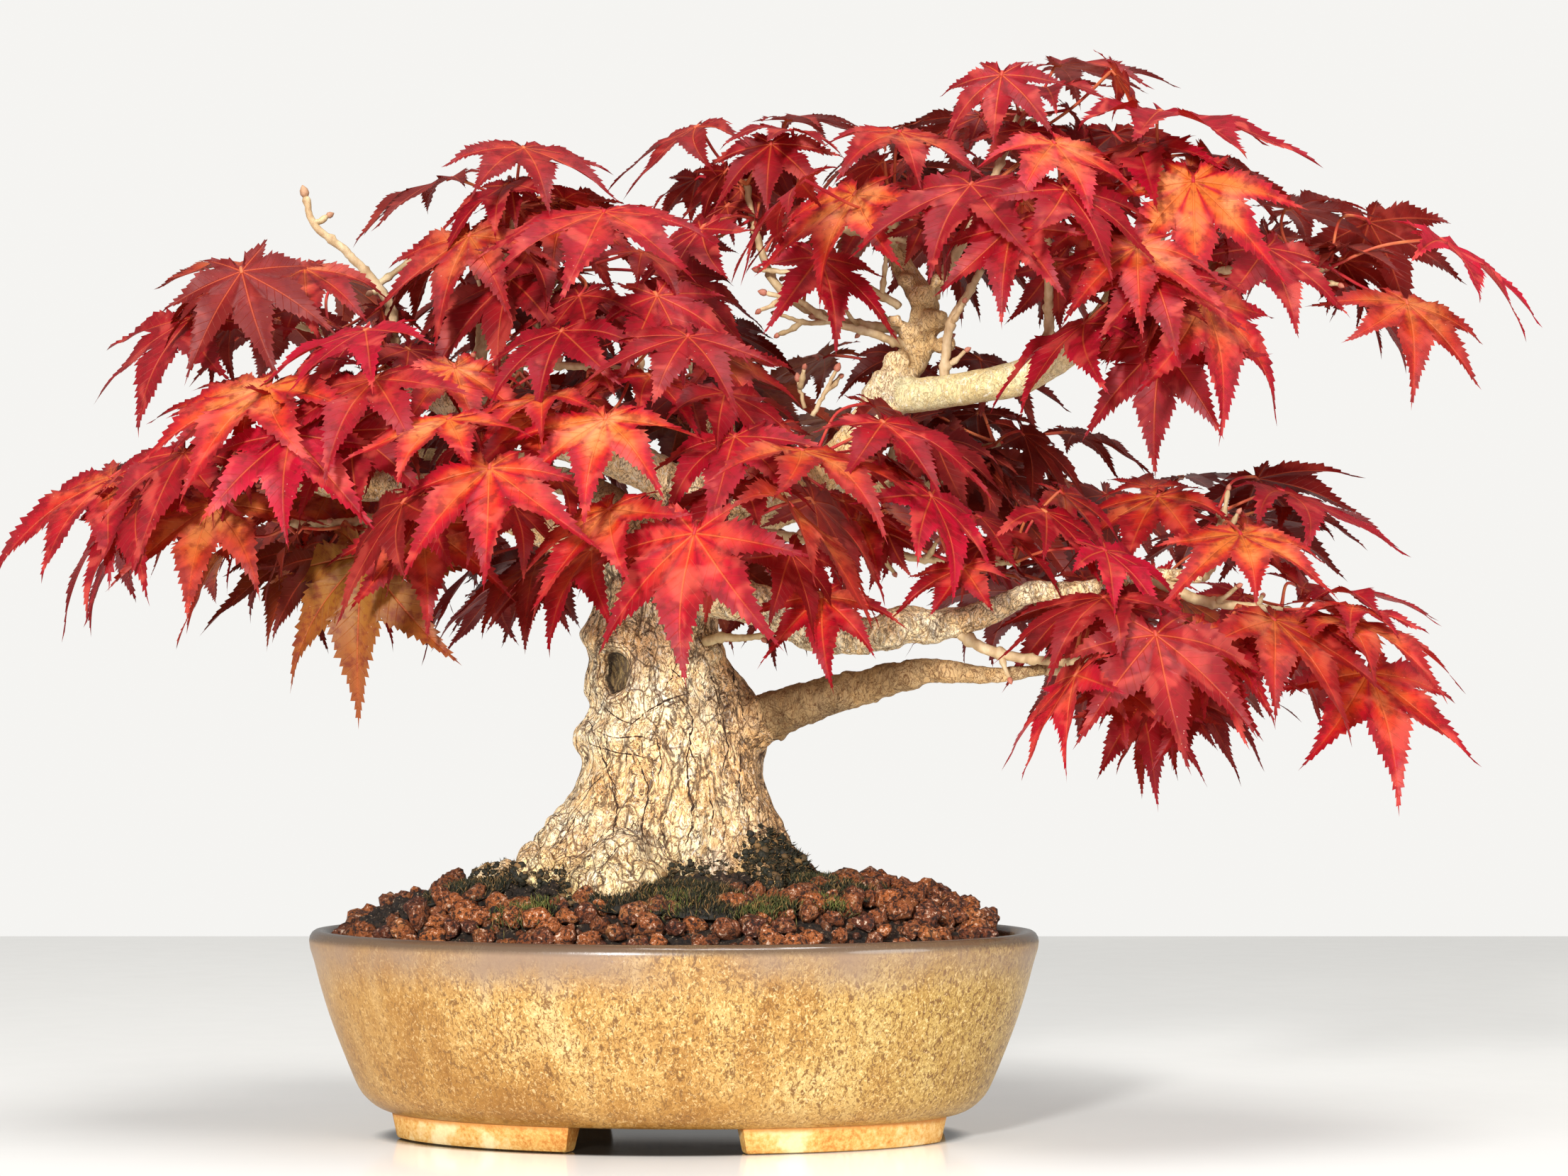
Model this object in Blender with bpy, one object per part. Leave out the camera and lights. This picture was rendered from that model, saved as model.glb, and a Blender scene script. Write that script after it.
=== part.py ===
# A red Japanese maple bonsai in an oval glazed pot.
# Metres, +Z up, the front towards -Y. The pot stands on Z = 0, and the origin is under the middle of the
# whole tree's box. Routes and places are written in millimetres from the middle of the pot.

import math

import bmesh
import bpy
from mathutils import Matrix, Quaternion, Vector
from mathutils.bvhtree import BVHTree

for old in list(bpy.data.objects):
    bpy.data.objects.remove(old, do_unlink=True)

# Driving dimensions
mm = 0.001
gap = 0.3  # millimetres of air between pieces that touch
pot_half_length = 100.0
pot_half_depth = 68.0
rim_height = 56.0
foot_height = 6.8
wall = 5.6
floor_thickness = 5.6
pot_turn = math.radians(-4.0)  # the pot stands turned a little clockwise, seen from above
foot_span = (16.0, 73.5)  # degrees along each quarter of the oval that a foot covers
foot_width = 9.0
drain_hole_radius = 7.0
drain_hole_place = 42.0  # from the middle, along the pot
wire_hole_radius = 2.4
wire_hole_place = (20.0, 24.0)
drainage_depth = 6.0
soil_crown = 69.0  # height of the soil under the trunk
soil_edge = 52.5  # height of the soil against the wall
leaf_thickness = 1.0
petiole_radius = 0.55
twig_sides = 4
fill_seed = 7

colours = {
    "glazed_stoneware": ((0.56, 0.35, 0.15), 0.28, 0.0),
    "screen_plastic": ((0.03, 0.03, 0.03), 0.6, 0.0),
    "training_wire": ((0.35, 0.20, 0.12), 0.45, 0.9),
    "pumice": ((0.55, 0.50, 0.42), 0.95, 0.0),
    "clay_granules": ((0.20, 0.06, 0.03), 0.95, 0.0),
    "moss": ((0.08, 0.11, 0.03), 1.0, 0.0),
    "bark": ((0.62, 0.45, 0.26), 0.8, 0.0),
    "young_bark": ((0.60, 0.52, 0.28), 0.7, 0.0),
    "red_leaf": ((0.55, 0.03, 0.03), 0.5, 0.0),
}


def material(name):
    made = bpy.data.materials.get(name)
    if made:
        return made
    colour, roughness, metallic = colours[name]
    made = bpy.data.materials.new(name)
    made.use_nodes = True
    made.diffuse_color = (*colour, 1.0)
    shader = made.node_tree.nodes["Principled BSDF"]
    shader.inputs["Base Color"].default_value = (*colour, 1.0)
    shader.inputs["Roughness"].default_value = roughness
    shader.inputs["Metallic"].default_value = metallic
    return made


def empty(name, parent=None):
    made = bpy.data.objects.new(name, None)
    bpy.context.scene.collection.objects.link(made)
    made.parent = parent
    return made


tree_place = empty("tree_place")
pot_place = empty("pot_place", tree_place)
pot_place.rotation_euler.z = pot_turn


def piece(name, points, faces, material_name, parent=tree_place, cutter=False, smooth=35.0):
    # One object from points in millimetres and the faces between them.
    mesh = bpy.data.meshes.new(name)
    mesh.from_pydata([Vector(p) * mm for p in points], [], faces)
    mesh.update()
    made = bpy.data.objects.new(name, mesh)
    bpy.context.scene.collection.objects.link(made)
    made.parent = parent
    made.data.materials.append(material(material_name))
    mesh.shade_smooth()
    mesh.set_sharp_from_angle(angle=math.radians(smooth))
    if cutter:
        made.hide_render = True
        made.display_type = "WIRE"
    return made


def boolean(target, tool, operation):
    step = target.modifiers.new(operation.lower() + "_" + tool.name, "BOOLEAN")
    step.operation = operation
    step.object = tool


def rings_to_solid(rings):
    # Closed skin over a stack of rings that have the same number of points, lowest ring first.
    count = len(rings[0])
    points = [p for ring in rings for p in ring]
    faces = [tuple(reversed(range(count)))]
    for level in range(len(rings) - 1):
        base = level * count
        for i in range(count):
            j = (i + 1) % count
            faces.append((base + i, base + j, base + count + j, base + count + i))
    faces.append(tuple(range((len(rings) - 1) * count, len(rings) * count)))
    return points, faces


def oval_ring(half_length, half_depth, z, count=40):
    turn = 2 * math.pi / count
    return [(half_length * math.cos(i * turn), half_depth * math.sin(i * turn), z) for i in range(count)]


# The pot: a flaring oval tray with a rolled lip, a flat floor and four feet in one fired piece

base_z = foot_height
outer_profile = (  # inset from the rim's outer edge, height
    (23.0, base_z),
    (18.0, base_z + 1.6),
    (13.6, base_z + 6.4),
    (6.3, 31.0),
    (1.4, 47.5),
    (0.0, 53.0),
    (0.8, 55.3),
    (2.6, rim_height),
)
inner_profile = (
    (4.6, 55.2),
    (wall, 52.0),
    (wall + 6.1, 31.0),
    (wall + 14.5, base_z + floor_thickness),
)


def inner_inset(z):
    # Inset of the pot's inner face at a height, between the profile's points.
    for (upper_inset, upper_z), (lower_inset, lower_z) in zip(inner_profile, inner_profile[1:]):
        if z >= lower_z:
            share = (z - lower_z) / (upper_z - lower_z)
            return lower_inset + share * (upper_inset - lower_inset)
    return inner_profile[-1][0]


def pot_ring(inset, z):
    return oval_ring(pot_half_length - inset, pot_half_depth - inset, z)


def foot(name, start, end):
    # A curved foot under the wall, its ends and outer face sloping in towards the ground.
    steps = 9
    points = []
    for top in (False, True):
        lean = 0.0 if top else 1.6
        outer = 21.0 + lean
        inner = outer + foot_width - 2 * lean
        trim = 0.0 if top else math.copysign(1.4, end - start)
        z = base_z + 3.0 if top else 0.0
        for inset in (outer, inner):
            for i in range(steps):
                angle = math.radians(start + trim + (end - start - 2 * trim) * i / (steps - 1))
                points.append(
                    (
                        (pot_half_length - inset) * math.cos(angle),
                        (pot_half_depth - inset) * math.sin(angle),
                        z,
                    )
                )
    faces = []
    for i in range(steps - 1):
        low_out, low_in = i, steps + i
        high_out, high_in = 2 * steps + i, 3 * steps + i
        faces.append((low_out, low_in, low_in + 1, low_out + 1))
        faces.append((high_out, high_out + 1, high_in + 1, high_in))
        faces.append((low_out, low_out + 1, high_out + 1, high_out))
        faces.append((low_in, high_in, high_in + 1, low_in + 1))
    last = steps - 1
    faces.append((0, 2 * steps, 3 * steps, steps))
    faces.append((last, steps + last, 3 * steps + last, 2 * steps + last))
    made = piece(name, points, faces, "glazed_stoneware", pot_place, cutter=True)
    face_outwards(made)
    return made


def face_outwards(made):
    work = bmesh.new()
    work.from_mesh(made.data)
    bmesh.ops.recalc_face_normals(work, faces=work.faces)
    work.to_mesh(made.data)
    work.free()


def drill(name, x, y, radius, low, high):
    ring = [(x + px, y + py) for px, py, _ in oval_ring(radius, radius, low, 16)]
    rings = [[(px, py, z) for px, py in ring] for z in (low, high)]
    return piece(name, *rings_to_solid(rings), "glazed_stoneware", pot_place, cutter=True)


def make_pot():
    rings = [pot_ring(inset, z) for inset, z in outer_profile + inner_profile]
    pot = piece("pot", *rings_to_solid(rings), "glazed_stoneware", pot_place)
    low, high = foot_span
    for label, start, end in (
        ("back_right", low, high),
        ("back_left", 180 - high, 180 - low),
        ("front_left", 180 + low, 180 + high),
        ("front_right", 360 - high, 360 - low),
    ):
        boolean(pot, foot("foot_" + label, start, end), "UNION")
    for side in (-1, 1):
        label = "left" if side < 0 else "right"
        hole = drill("drain_hole_" + label, side * drain_hole_place, 0, drain_hole_radius, 2, 20)
        boolean(pot, hole, "DIFFERENCE")
        x, y = wire_hole_place
        hole = drill("wire_hole_" + label, side * x, y, wire_hole_radius, 2, 20)
        boolean(pot, hole, "DIFFERENCE")


# Under the soil: screens over the drain holes, the clips that hold them, and coarse pumice

screen_pitch = 3.8
screen_strand = 1.2
screen_cells = 5
screen_thickness = 0.8
clip_wire_radius = 0.5


def make_screen(label, x):
    # A square of plastic mesh: a grid of cells with a hole through each.
    edges = []
    for i in range(screen_cells + 1):
        middle = (i - screen_cells / 2) * screen_pitch
        edges += [middle - screen_strand / 2, middle + screen_strand / 2]
    low = base_z + floor_thickness + gap
    count = len(edges)
    points = [(x + u, v, low + h) for h in (0, screen_thickness) for u in edges for v in edges]
    faces = []

    def at(h, i, j):
        return h * count * count + i * count + j

    def solid(i, j):
        inside = 0 <= i < count - 1 and 0 <= j < count - 1
        return inside and not (i % 2 == 1 and j % 2 == 1)

    for i in range(count - 1):
        for j in range(count - 1):
            if not solid(i, j):
                continue
            faces.append((at(0, i, j), at(0, i, j + 1), at(0, i + 1, j + 1), at(0, i + 1, j)))
            faces.append((at(1, i, j), at(1, i + 1, j), at(1, i + 1, j + 1), at(1, i, j + 1)))
            sides = (
                (i - 1, j, (i, j + 1), (i, j)),
                (i + 1, j, (i + 1, j), (i + 1, j + 1)),
                (i, j - 1, (i, j), (i + 1, j)),
                (i, j + 1, (i + 1, j + 1), (i, j + 1)),
            )
            for beside_i, beside_j, (ai, aj), (bi, bj) in sides:
                if not solid(beside_i, beside_j):
                    faces.append((at(0, ai, aj), at(0, bi, bj), at(1, bi, bj), at(1, ai, aj)))
    piece("drain_screen_" + label, points, faces, "screen_plastic", pot_place)


def make_clip(label, x):
    # A staple of wire over the screen, its legs through the drain hole and bent out under the floor.
    top = base_z + floor_thickness + gap + screen_thickness + gap + clip_wire_radius
    under = base_z - gap - clip_wire_radius
    leg = screen_pitch
    reach = 11.0
    route = [
        (x - reach, 0, under),
        (x - leg - 1.0, 0, under),
        (x - leg, 0, under + 1.2),
        (x - leg, 0, top - 1.0),
        (x - leg + 1.0, 0, top),
        (x + leg - 1.0, 0, top),
        (x + leg, 0, top - 1.0),
        (x + leg, 0, under + 1.2),
        (x + leg + 1.0, 0, under),
        (x + reach, 0, under),
    ]
    tube("screen_clip_" + label, [(*p, clip_wire_radius) for p in route], 6, "training_wire", pot_place)


anchor_wire_radius = 0.6
anchor_top = 40.0


def anchor_route(extra=0.0):
    # Under the floor from one wire hole to the other, up through both, and bent in towards the roots.
    x, y = wire_hole_place
    under = base_z - gap - anchor_wire_radius
    radius = anchor_wire_radius + extra
    half = [(0, under), (x - 2, under), (x - 0.5, under + 0.6), (x, under + 2.5), (x, anchor_top - 6)]
    half += [(x - 1.5, anchor_top - 1.5), (x - 5, anchor_top)]
    left = [(-px, y, pz, radius) for px, pz in reversed(half[1:])]
    right = [(px, y, pz, radius) for px, pz in half]
    return left + right


def make_drainage_layer():
    low = base_z + floor_thickness + 2 * gap + screen_thickness + 2 * clip_wire_radius + 2 * gap
    high = low + drainage_depth
    rings = [pot_ring(inner_inset(z) + gap + 0.2, z) for z in (low, high)]
    layer = piece("drainage_layer", *rings_to_solid(rings), "pumice", pot_place)
    boolean(layer, bpy.data.objects["anchor_wire_clearance"], "DIFFERENCE")
    return high


# The soil: a mound of granules, higher under the trunk


def soil_height(share):
    # Height at a share of the way from the middle (0) to the wall (1).
    return soil_crown - (soil_crown - soil_edge) * share**4.5


def make_soil(low):
    foot_z = low + gap
    heights = (foot_z, 31.0, 45.0)
    rings = [pot_ring(inner_inset(z) + gap + 0.2, z) for z in heights]
    edge = inner_inset(soil_edge) + gap + 0.2
    for share in (1.0, 0.95, 0.88, 0.78, 0.62, 0.45):
        half_length = (pot_half_length - edge) * share
        half_depth = (pot_half_depth - edge) * share
        rings.append(oval_ring(half_length, half_depth, soil_height(share)))
    soil = piece("soil", *rings_to_solid(rings), "clay_granules", pot_place)
    boolean(soil, bpy.data.objects["anchor_wire_clearance"], "DIFFERENCE")
    boolean(soil, bpy.data.objects["trunk_clearance"], "DIFFERENCE")


def make_moss(name, x, y, length, depth, height):
    # A low cushion on the soil, its underside following the mound.
    edge = inner_inset(soil_edge) + gap + 0.2
    count = 14

    def ground(px, py):
        share = math.hypot(px / (pot_half_length - edge), py / (pot_half_depth - edge))
        return soil_height(share) + gap

    rings = []
    levels = ((0.5, 0.0), (0.9, 0.0), (1.0, 0.3), (0.85, 0.7), (0.4, 1.0))
    for reach, rise in levels:
        ring = []
        for i in range(count):
            angle = math.tau * i / count
            wobble = 1.0 + 0.14 * math.sin(3 * angle + x) + 0.07 * math.sin(5 * angle + y)
            px = x + length * reach * wobble * math.cos(angle)
            py = y + depth * reach * wobble * math.sin(angle)
            ring.append((px, py, ground(px, py) + rise * height))
        rings.append(ring)
    cushion = piece(name, *rings_to_solid(rings), "moss", pot_place)
    boolean(cushion, bpy.data.objects["trunk_clearance"], "DIFFERENCE")


# Wood: tubes swept along smooth routes. Each point of a route is x, y, z and, on wood, the radius.


def smooth_route(points, step):
    # Points about one step apart on a smooth curve through the route's own points.
    points = [Vector(p) for p in points]
    first = points[0] * 2 - points[1]
    last = points[-1] * 2 - points[-2]
    padded = [first] + points + [last]
    out = []
    for a, b, c, d in zip(padded, padded[1:], padded[2:], padded[3:]):
        length = (Vector(c[:3]) - Vector(b[:3])).length
        count = max(1, round(length / step))
        for i in range(count):
            t = i / count
            straight = (c - a) * t
            square = (2 * a - 5 * b + 4 * c - d) * t**2
            cube = (3 * b - a - 3 * c + d) * t**3
            out.append(0.5 * (2 * b + straight + square + cube))
    out.append(points[-1])
    return out


def frames_along(places, up=Vector((0, 0, 1))):
    # A tangent and two cross directions at each place, turning as little as possible.
    found = []
    side = None
    for i, place in enumerate(places):
        before = places[max(i - 1, 0)]
        after = places[min(i + 1, len(places) - 1)]
        tangent = (after - before).normalized()
        if side is None:
            start = up if abs(tangent.dot(up)) < 0.9 else Vector((0, -1, 0))
            side = tangent.cross(start).normalized()
        else:
            side = (side - tangent * side.dot(tangent)).normalized()
        found.append((tangent, side, tangent.cross(side)))
    return found


def tube_skin(route, sides, extra=0.0):
    places = [Vector(p[:3]) for p in route]
    rings = []
    for place, (_, side, over), point in zip(places, frames_along(places), route):
        radius = point[3] + extra
        ring = []
        for i in range(sides):
            angle = math.tau * i / sides
            ring.append(place + side * (radius * math.cos(angle)) + over * (radius * math.sin(angle)))
        rings.append(ring)
    return rings_to_solid(rings)


def tube(name, route, sides, material_name, parent=tree_place, extra=0.0, cutter=False):
    return piece(name, *tube_skin(route, sides, extra), material_name, parent, cutter)


# The trunk: height, middle x and y, half-width and half-depth
trunk_sections = (
    (40, -5, 0, 26, 20),
    (45, -7, 0, 40, 31),
    (54, -8, 0, 46, 37),
    (62, -8, 0, 45, 36),
    (67, -7.5, 0, 42.5, 34.5),
    (72, -6, 0, 39.5, 32),
    (78, -4.5, 0, 35.5, 29.5),
    (87, -3.1, 0, 30.8, 26.5),
    (95, -0.8, 0, 26, 24.2),
    (102, 0, 0, 24.4, 23),
    (110, -0.5, 0, 25.3, 22),
    (119, 0, 0, 22.8, 21),
    (128, -4, 0, 20.6, 19.5),
    (138, -6.6, 0, 19, 18),
    (146, -5, 0, 17, 16.5),
    (156, -3, 0, 15, 14.5),
    (165, 0, 1, 13, 13),
    (175, 6, 2, 10.5, 10.5),
    (184, 9.5, 2, 8.5, 8.5),
    (193, 10.5, 2, 6.5, 6.5),
    (200, 11, 2, 5.2, 5.2),
    (202, 11, 2, 3.4, 3.4),
)
trunk_sides = 24
knot_height = 125.0
knot_bearing = math.radians(238)  # round the trunk, from +X towards +Y


def trunk_ring(section, extra):
    # Root ridges swell the foot of the trunk, and the healed pruning wound stands a little proud.
    z, x, y, half_width, half_depth = section
    ridges = 0.11 * max(0.0, min(1.0, (98 - z) / 30))
    ring = []
    for i in range(trunk_sides):
        angle = math.tau * i / trunk_sides
        swell = 1 + ridges * (math.cos(3 * angle + 0.4) + 0.6 * math.cos(5 * angle + 2.0))
        swell += 0.02 * math.cos(4 * angle + z / 9)
        turn = math.remainder(angle - knot_bearing, math.tau)
        swell += 0.07 * math.exp(-((turn / 0.3) ** 2) - ((z - knot_height) / 7) ** 2)
        ring.append(
            (
                x + (half_width * swell + extra) * math.cos(angle),
                y + (half_depth * swell + extra) * math.sin(angle),
                z,
            )
        )
    return ring


def trunk_solid(name, extra=0.0, cutter=False):
    sections = list(trunk_sections)
    rings = [trunk_ring(section, extra) for section in sections]
    if extra:
        rings[0] = [(x, y, z - extra) for x, y, z in rings[0]]
        rings[-1] = [(x, y, z + extra) for x, y, z in rings[-1]]
    return piece(name, *rings_to_solid(rings), "bark", cutter=cutter)


limbs = {
    "lower_right_branch": {
        "from": "trunk",
        "route": (
            (10, -3, 108, 7.5),
            (24.6, -8, 113.3, 7.0),
            (36, -12, 118, 5.8),
            (49, -17, 121.3, 4.9),
            (62, -22, 125, 4.3),
            (71, -26, 126.4, 3.4),
            (86, -30, 125.2, 2.2),
            (100, -33, 126.8, 1.6),
        ),
    },
    "upper_right_branch": {
        "from": "trunk",
        "route": (
            (-3, -8, 146, 7.4),
            (10, -15, 147.5, 6.4),
            (27, -21, 143, 5.4),
            (40, -24, 136, 5.0),
            (56, -27, 136.4, 4.8),
            (62, -28, 138.8, 5.2),
            (71, -30, 138.2, 4.4),
            (84, -32, 141.6, 3.6),
            (96, -34, 147, 3.0),
            (111, -36, 147.6, 2.6),
            (126, -38, 151.4, 2.1),
            (141, -39, 151.2, 1.7),
        ),
    },
    "lower_left_branch": {
        "from": "trunk",
        "route": (
            (-3, -1, 150, 7.2),
            (-22, -8, 160, 6.4),
            (-42, -14, 169, 5.4),
            (-66, -18, 175, 4.6),
            (-92, -20, 177, 3.8),
            (-112, -20, 181, 2.8),
            (-126, -19, 184, 2.0),
        ),
    },
    "upper_left_branch": {
        "from": "trunk",
        "route": (
            (5, 1, 175, 6.4),
            (-12, -3, 184, 5.8),
            (-32, -6, 190, 5.0),
            (-54, -6, 197, 4.3),
            (-70, -2, 205, 3.6),
            (-78, 6, 213, 2.9),
        ),
    },
    "crown_limb": {
        "from": "trunk",
        "route": (
            (5, 2, 170, 6.6),
            (20, 0, 174.5, 6.2),
            (34, -1, 177.6, 5.9),
            (45, -2, 184, 5.6),
            (52.5, -3, 193, 5.6),
            (60, -4, 203, 6.4),
            (62, -4, 207, 5.0),
        ),
    },
    "crown_branch": {
        "from": "crown_limb",
        "route": (
            (59, -4, 202, 4.8),
            (67, -8, 202, 4.8),
            (80, -12, 203.5, 4.5),
            (93, -17, 205.6, 4.9),
            (102, -20, 209.5, 4.3),
            (110, -22, 215, 4.2),
            (117, -24, 221, 4.3),
            (124, -26, 233, 3.9),
            (131, -26, 239, 3.0),
        ),
    },
    "crown_leader": {
        "from": "crown_limb",
        "also_clear_of": ("crown_branch",),
        "route": (
            (60.5, -4, 205, 4.6),
            (64.5, -2.5, 211, 4.6),
            (68, -1, 218, 4.4),
            (69, 0, 228, 4.0),
            (64, 2, 237, 3.2),
            (60, 3, 245, 2.4),
        ),
    },
    "back_right_branch": {
        "from": "trunk",
        "route": (
            (2, 3, 157, 6.0),
            (12, 16, 164, 5.2),
            (28, 34, 172, 4.4),
            (48, 54, 178, 3.6),
            (72, 72, 182, 2.8),
            (90, 84, 184, 2.0),
        ),
    },
    "back_left_branch": {
        "from": "trunk",
        "route": (
            (-1, 3, 161, 6.0),
            (-9, 17, 168, 5.3),
            (-22, 34, 177, 4.5),
            (-42, 52, 185, 3.6),
            (-64, 67, 190, 2.8),
            (-80, 76, 192, 2.0),
        ),
    },
}

limb_step = 10.0
limb_sides = 8


def make_limbs():
    # Each limb is cut where it leaves its parent, so that it meets it with a thin gap.
    for name, limb in limbs.items():
        route = smooth_route(limb["route"], limb_step)
        young = "young_bark" if name == "crown_branch" else "bark"
        made = tube(name, route, limb_sides, young)
        for other in (limb["from"],) + limb.get("also_clear_of", ()):
            boolean(made, bpy.data.objects[other + "_clearance"], "DIFFERENCE")
        tube(name + "_clearance", route, limb_sides, "bark", extra=gap, cutter=True)


# Foliage: each spray is one body, a twig with its leaf stalks and leaves growing out of its sides.
# A leaf is x, y, z of the point where stalk meets blade, the bearing of its middle lobe in degrees
# (0 towards the front, 90 towards +X), the angle that lobe hangs below level, and its length.

middle_lobes = (  # bearing from the leaf's midline, length, place and half-width of its widest part
    (82, 0.76, None, None),
    (41, 0.94, 0.42, 0.14),
    (0, 1.0, 0.46, 0.155),
)
sinuses = ((112, 0.17), (60, 0.29), (20, 0.34))  # bearing and depth of the notches between lobes
basal_lobe = (132, 0.27)
blade_sag = 0.16  # how far the lobe tips curve down, as a share of the leaf's length


def polar(bearing, reach):
    angle = math.radians(bearing)
    return (reach * math.cos(angle), reach * math.sin(angle))


def blade_outline():
    # One side of the blade from the stalk to the tip, then the same mirrored.
    side = [polar(*basal_lobe)]
    for (bearing, length, widest, half_width), sinus in zip(middle_lobes, sinuses):
        side.append(polar(*sinus))
        if widest is None:
            side.append(polar(bearing, length))
            continue
        turn = math.radians(bearing)
        for along, across in ((widest, half_width), (length, 0.0), (widest, -half_width)):
            if bearing == 0 and across < 0:
                continue
            u = along * math.cos(turn) - across * math.sin(turn)
            v = along * math.sin(turn) + across * math.cos(turn)
            side.append((u, v))
    return side + [(u, -v) for u, v in reversed(side[:-1])]


outline = blade_outline()


def leaf_axes(aim, droop):
    aim, droop = math.radians(aim), math.radians(droop)
    out = Vector((math.sin(aim), -math.cos(aim), 0))
    forward = out * math.cos(droop) - Vector((0, 0, 1)) * math.sin(droop)
    normal = out * math.sin(droop) + Vector((0, 0, 1)) * math.cos(droop)
    return forward, forward.cross(normal), normal


def leaf_rings(leaf, roll):
    # The four points where the stalk enters the blade, and the blade's outline.
    x, y, z, aim, droop, size = leaf
    place = Vector((x, y, z))
    forward, side, normal = leaf_axes(aim, droop)
    lean = Quaternion(forward, math.radians(roll))
    side, normal = lean @ side, lean @ normal
    half = leaf_thickness / 2
    neck = [
        place + normal * half,
        place + side * half - forward * 0.3,
        place - normal * half,
        place - side * half - forward * 0.3,
    ]
    edge = []
    for u, v in outline:
        sag = blade_sag * (u * u + v * v)
        edge.append(place + (forward * u + side * v - normal * sag) * size)
    return neck, edge, forward, normal


def stalk_curve(start, start_direction, end, end_direction, t):
    reach = (end - start).length
    first = start + start_direction * (0.35 * reach)
    second = end - end_direction * min(0.3 * reach, 9.0)
    keep = 1 - t
    return start * keep**3 + first * (3 * keep**2 * t) + second * (3 * keep * t**2) + end * t**3


def stalk_rings(base, neck, forward, normal, shares=(0.5,)):
    # Rings of four between a square on the twig and the leaf's neck.
    start = sum(base, Vector()) / 4
    start_normal = (base[1] - base[0]).cross(base[3] - base[0]).normalized()
    end = sum(neck, Vector()) / 4
    across = (base[0] - start).normalized()
    rings = []
    for t in shares:
        place = stalk_curve(start, start_normal, end, forward, t)
        ahead = stalk_curve(start, start_normal, end, forward, min(t + 0.05, 1.0)) - place
        tangent = ahead.normalized()
        up = across.lerp(normal, t)
        up = (up - tangent * up.dot(tangent)).normalized()
        side = tangent.cross(up)
        rings.append([place + d * petiole_radius for d in (up, side, -up, -side)])
    return rings


def least_twist(base, neck):
    # The way round the base square that lines its corners up best with the neck's.
    middle = sum(base, Vector()) / 4
    end = sum(neck, Vector()) / 4
    best = None
    for shift in range(4):
        turned = base[shift:] + base[:shift]
        miss = sum(((b - middle).normalized() - (n - end).normalized()).length for b, n in zip(turned, neck))
        if best is None or miss < best[0]:
            best = (miss, shift)
    return best[1]


def leaf_skin(base, leaf, roll):
    # Points and faces of a stalk and its blade; the base's four corners come first.
    neck, edge, forward, normal = leaf_rings(leaf, roll)
    shift = least_twist(base, neck)
    base = base[shift:] + base[:shift]
    rings = stalk_rings(base, neck, forward, normal) + [neck]
    points = list(base)
    faces = []
    for level, ring in enumerate(rings):
        start = len(points)
        points += ring
        for i in range(4):
            j = (i + 1) % 4
            faces.append((start - 4 + i, start - 4 + j, start + j, start + i))
    top, right, bottom, left = (len(points) - 4 + i for i in range(4))
    round_edge = [right] + [len(points) + i for i in range(len(edge))] + [left]
    points += edge
    for a, b in zip(round_edge, round_edge[1:]):
        faces.append((top, a, b))
        faces.append((bottom, b, a))
    return points, faces, shift


def shoot_skin(base, end, radius):
    # A bare side shoot from a square on the twig, ending in a bud.
    end = Vector(end)
    start = sum(base, Vector()) / 4
    tangent = (end - start).normalized()
    across = (base[0] - start).normalized()
    up = (across - tangent * across.dot(tangent)).normalized()
    side = tangent.cross(up)
    middle = start.lerp(end, 0.5) + Vector((0, 0, -0.8))
    points = list(base)
    faces = []
    for place, width in ((middle, radius), (end, radius * 0.8)):
        level = len(points)
        points += [place + d * width for d in (up, side, -up, -side)]
        for i in range(4):
            j = (i + 1) % 4
            faces.append((level - 4 + i, level - 4 + j, level + j, level + i))
    faces.append(tuple(range(len(points) - 4, len(points))))
    return points, faces


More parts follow.
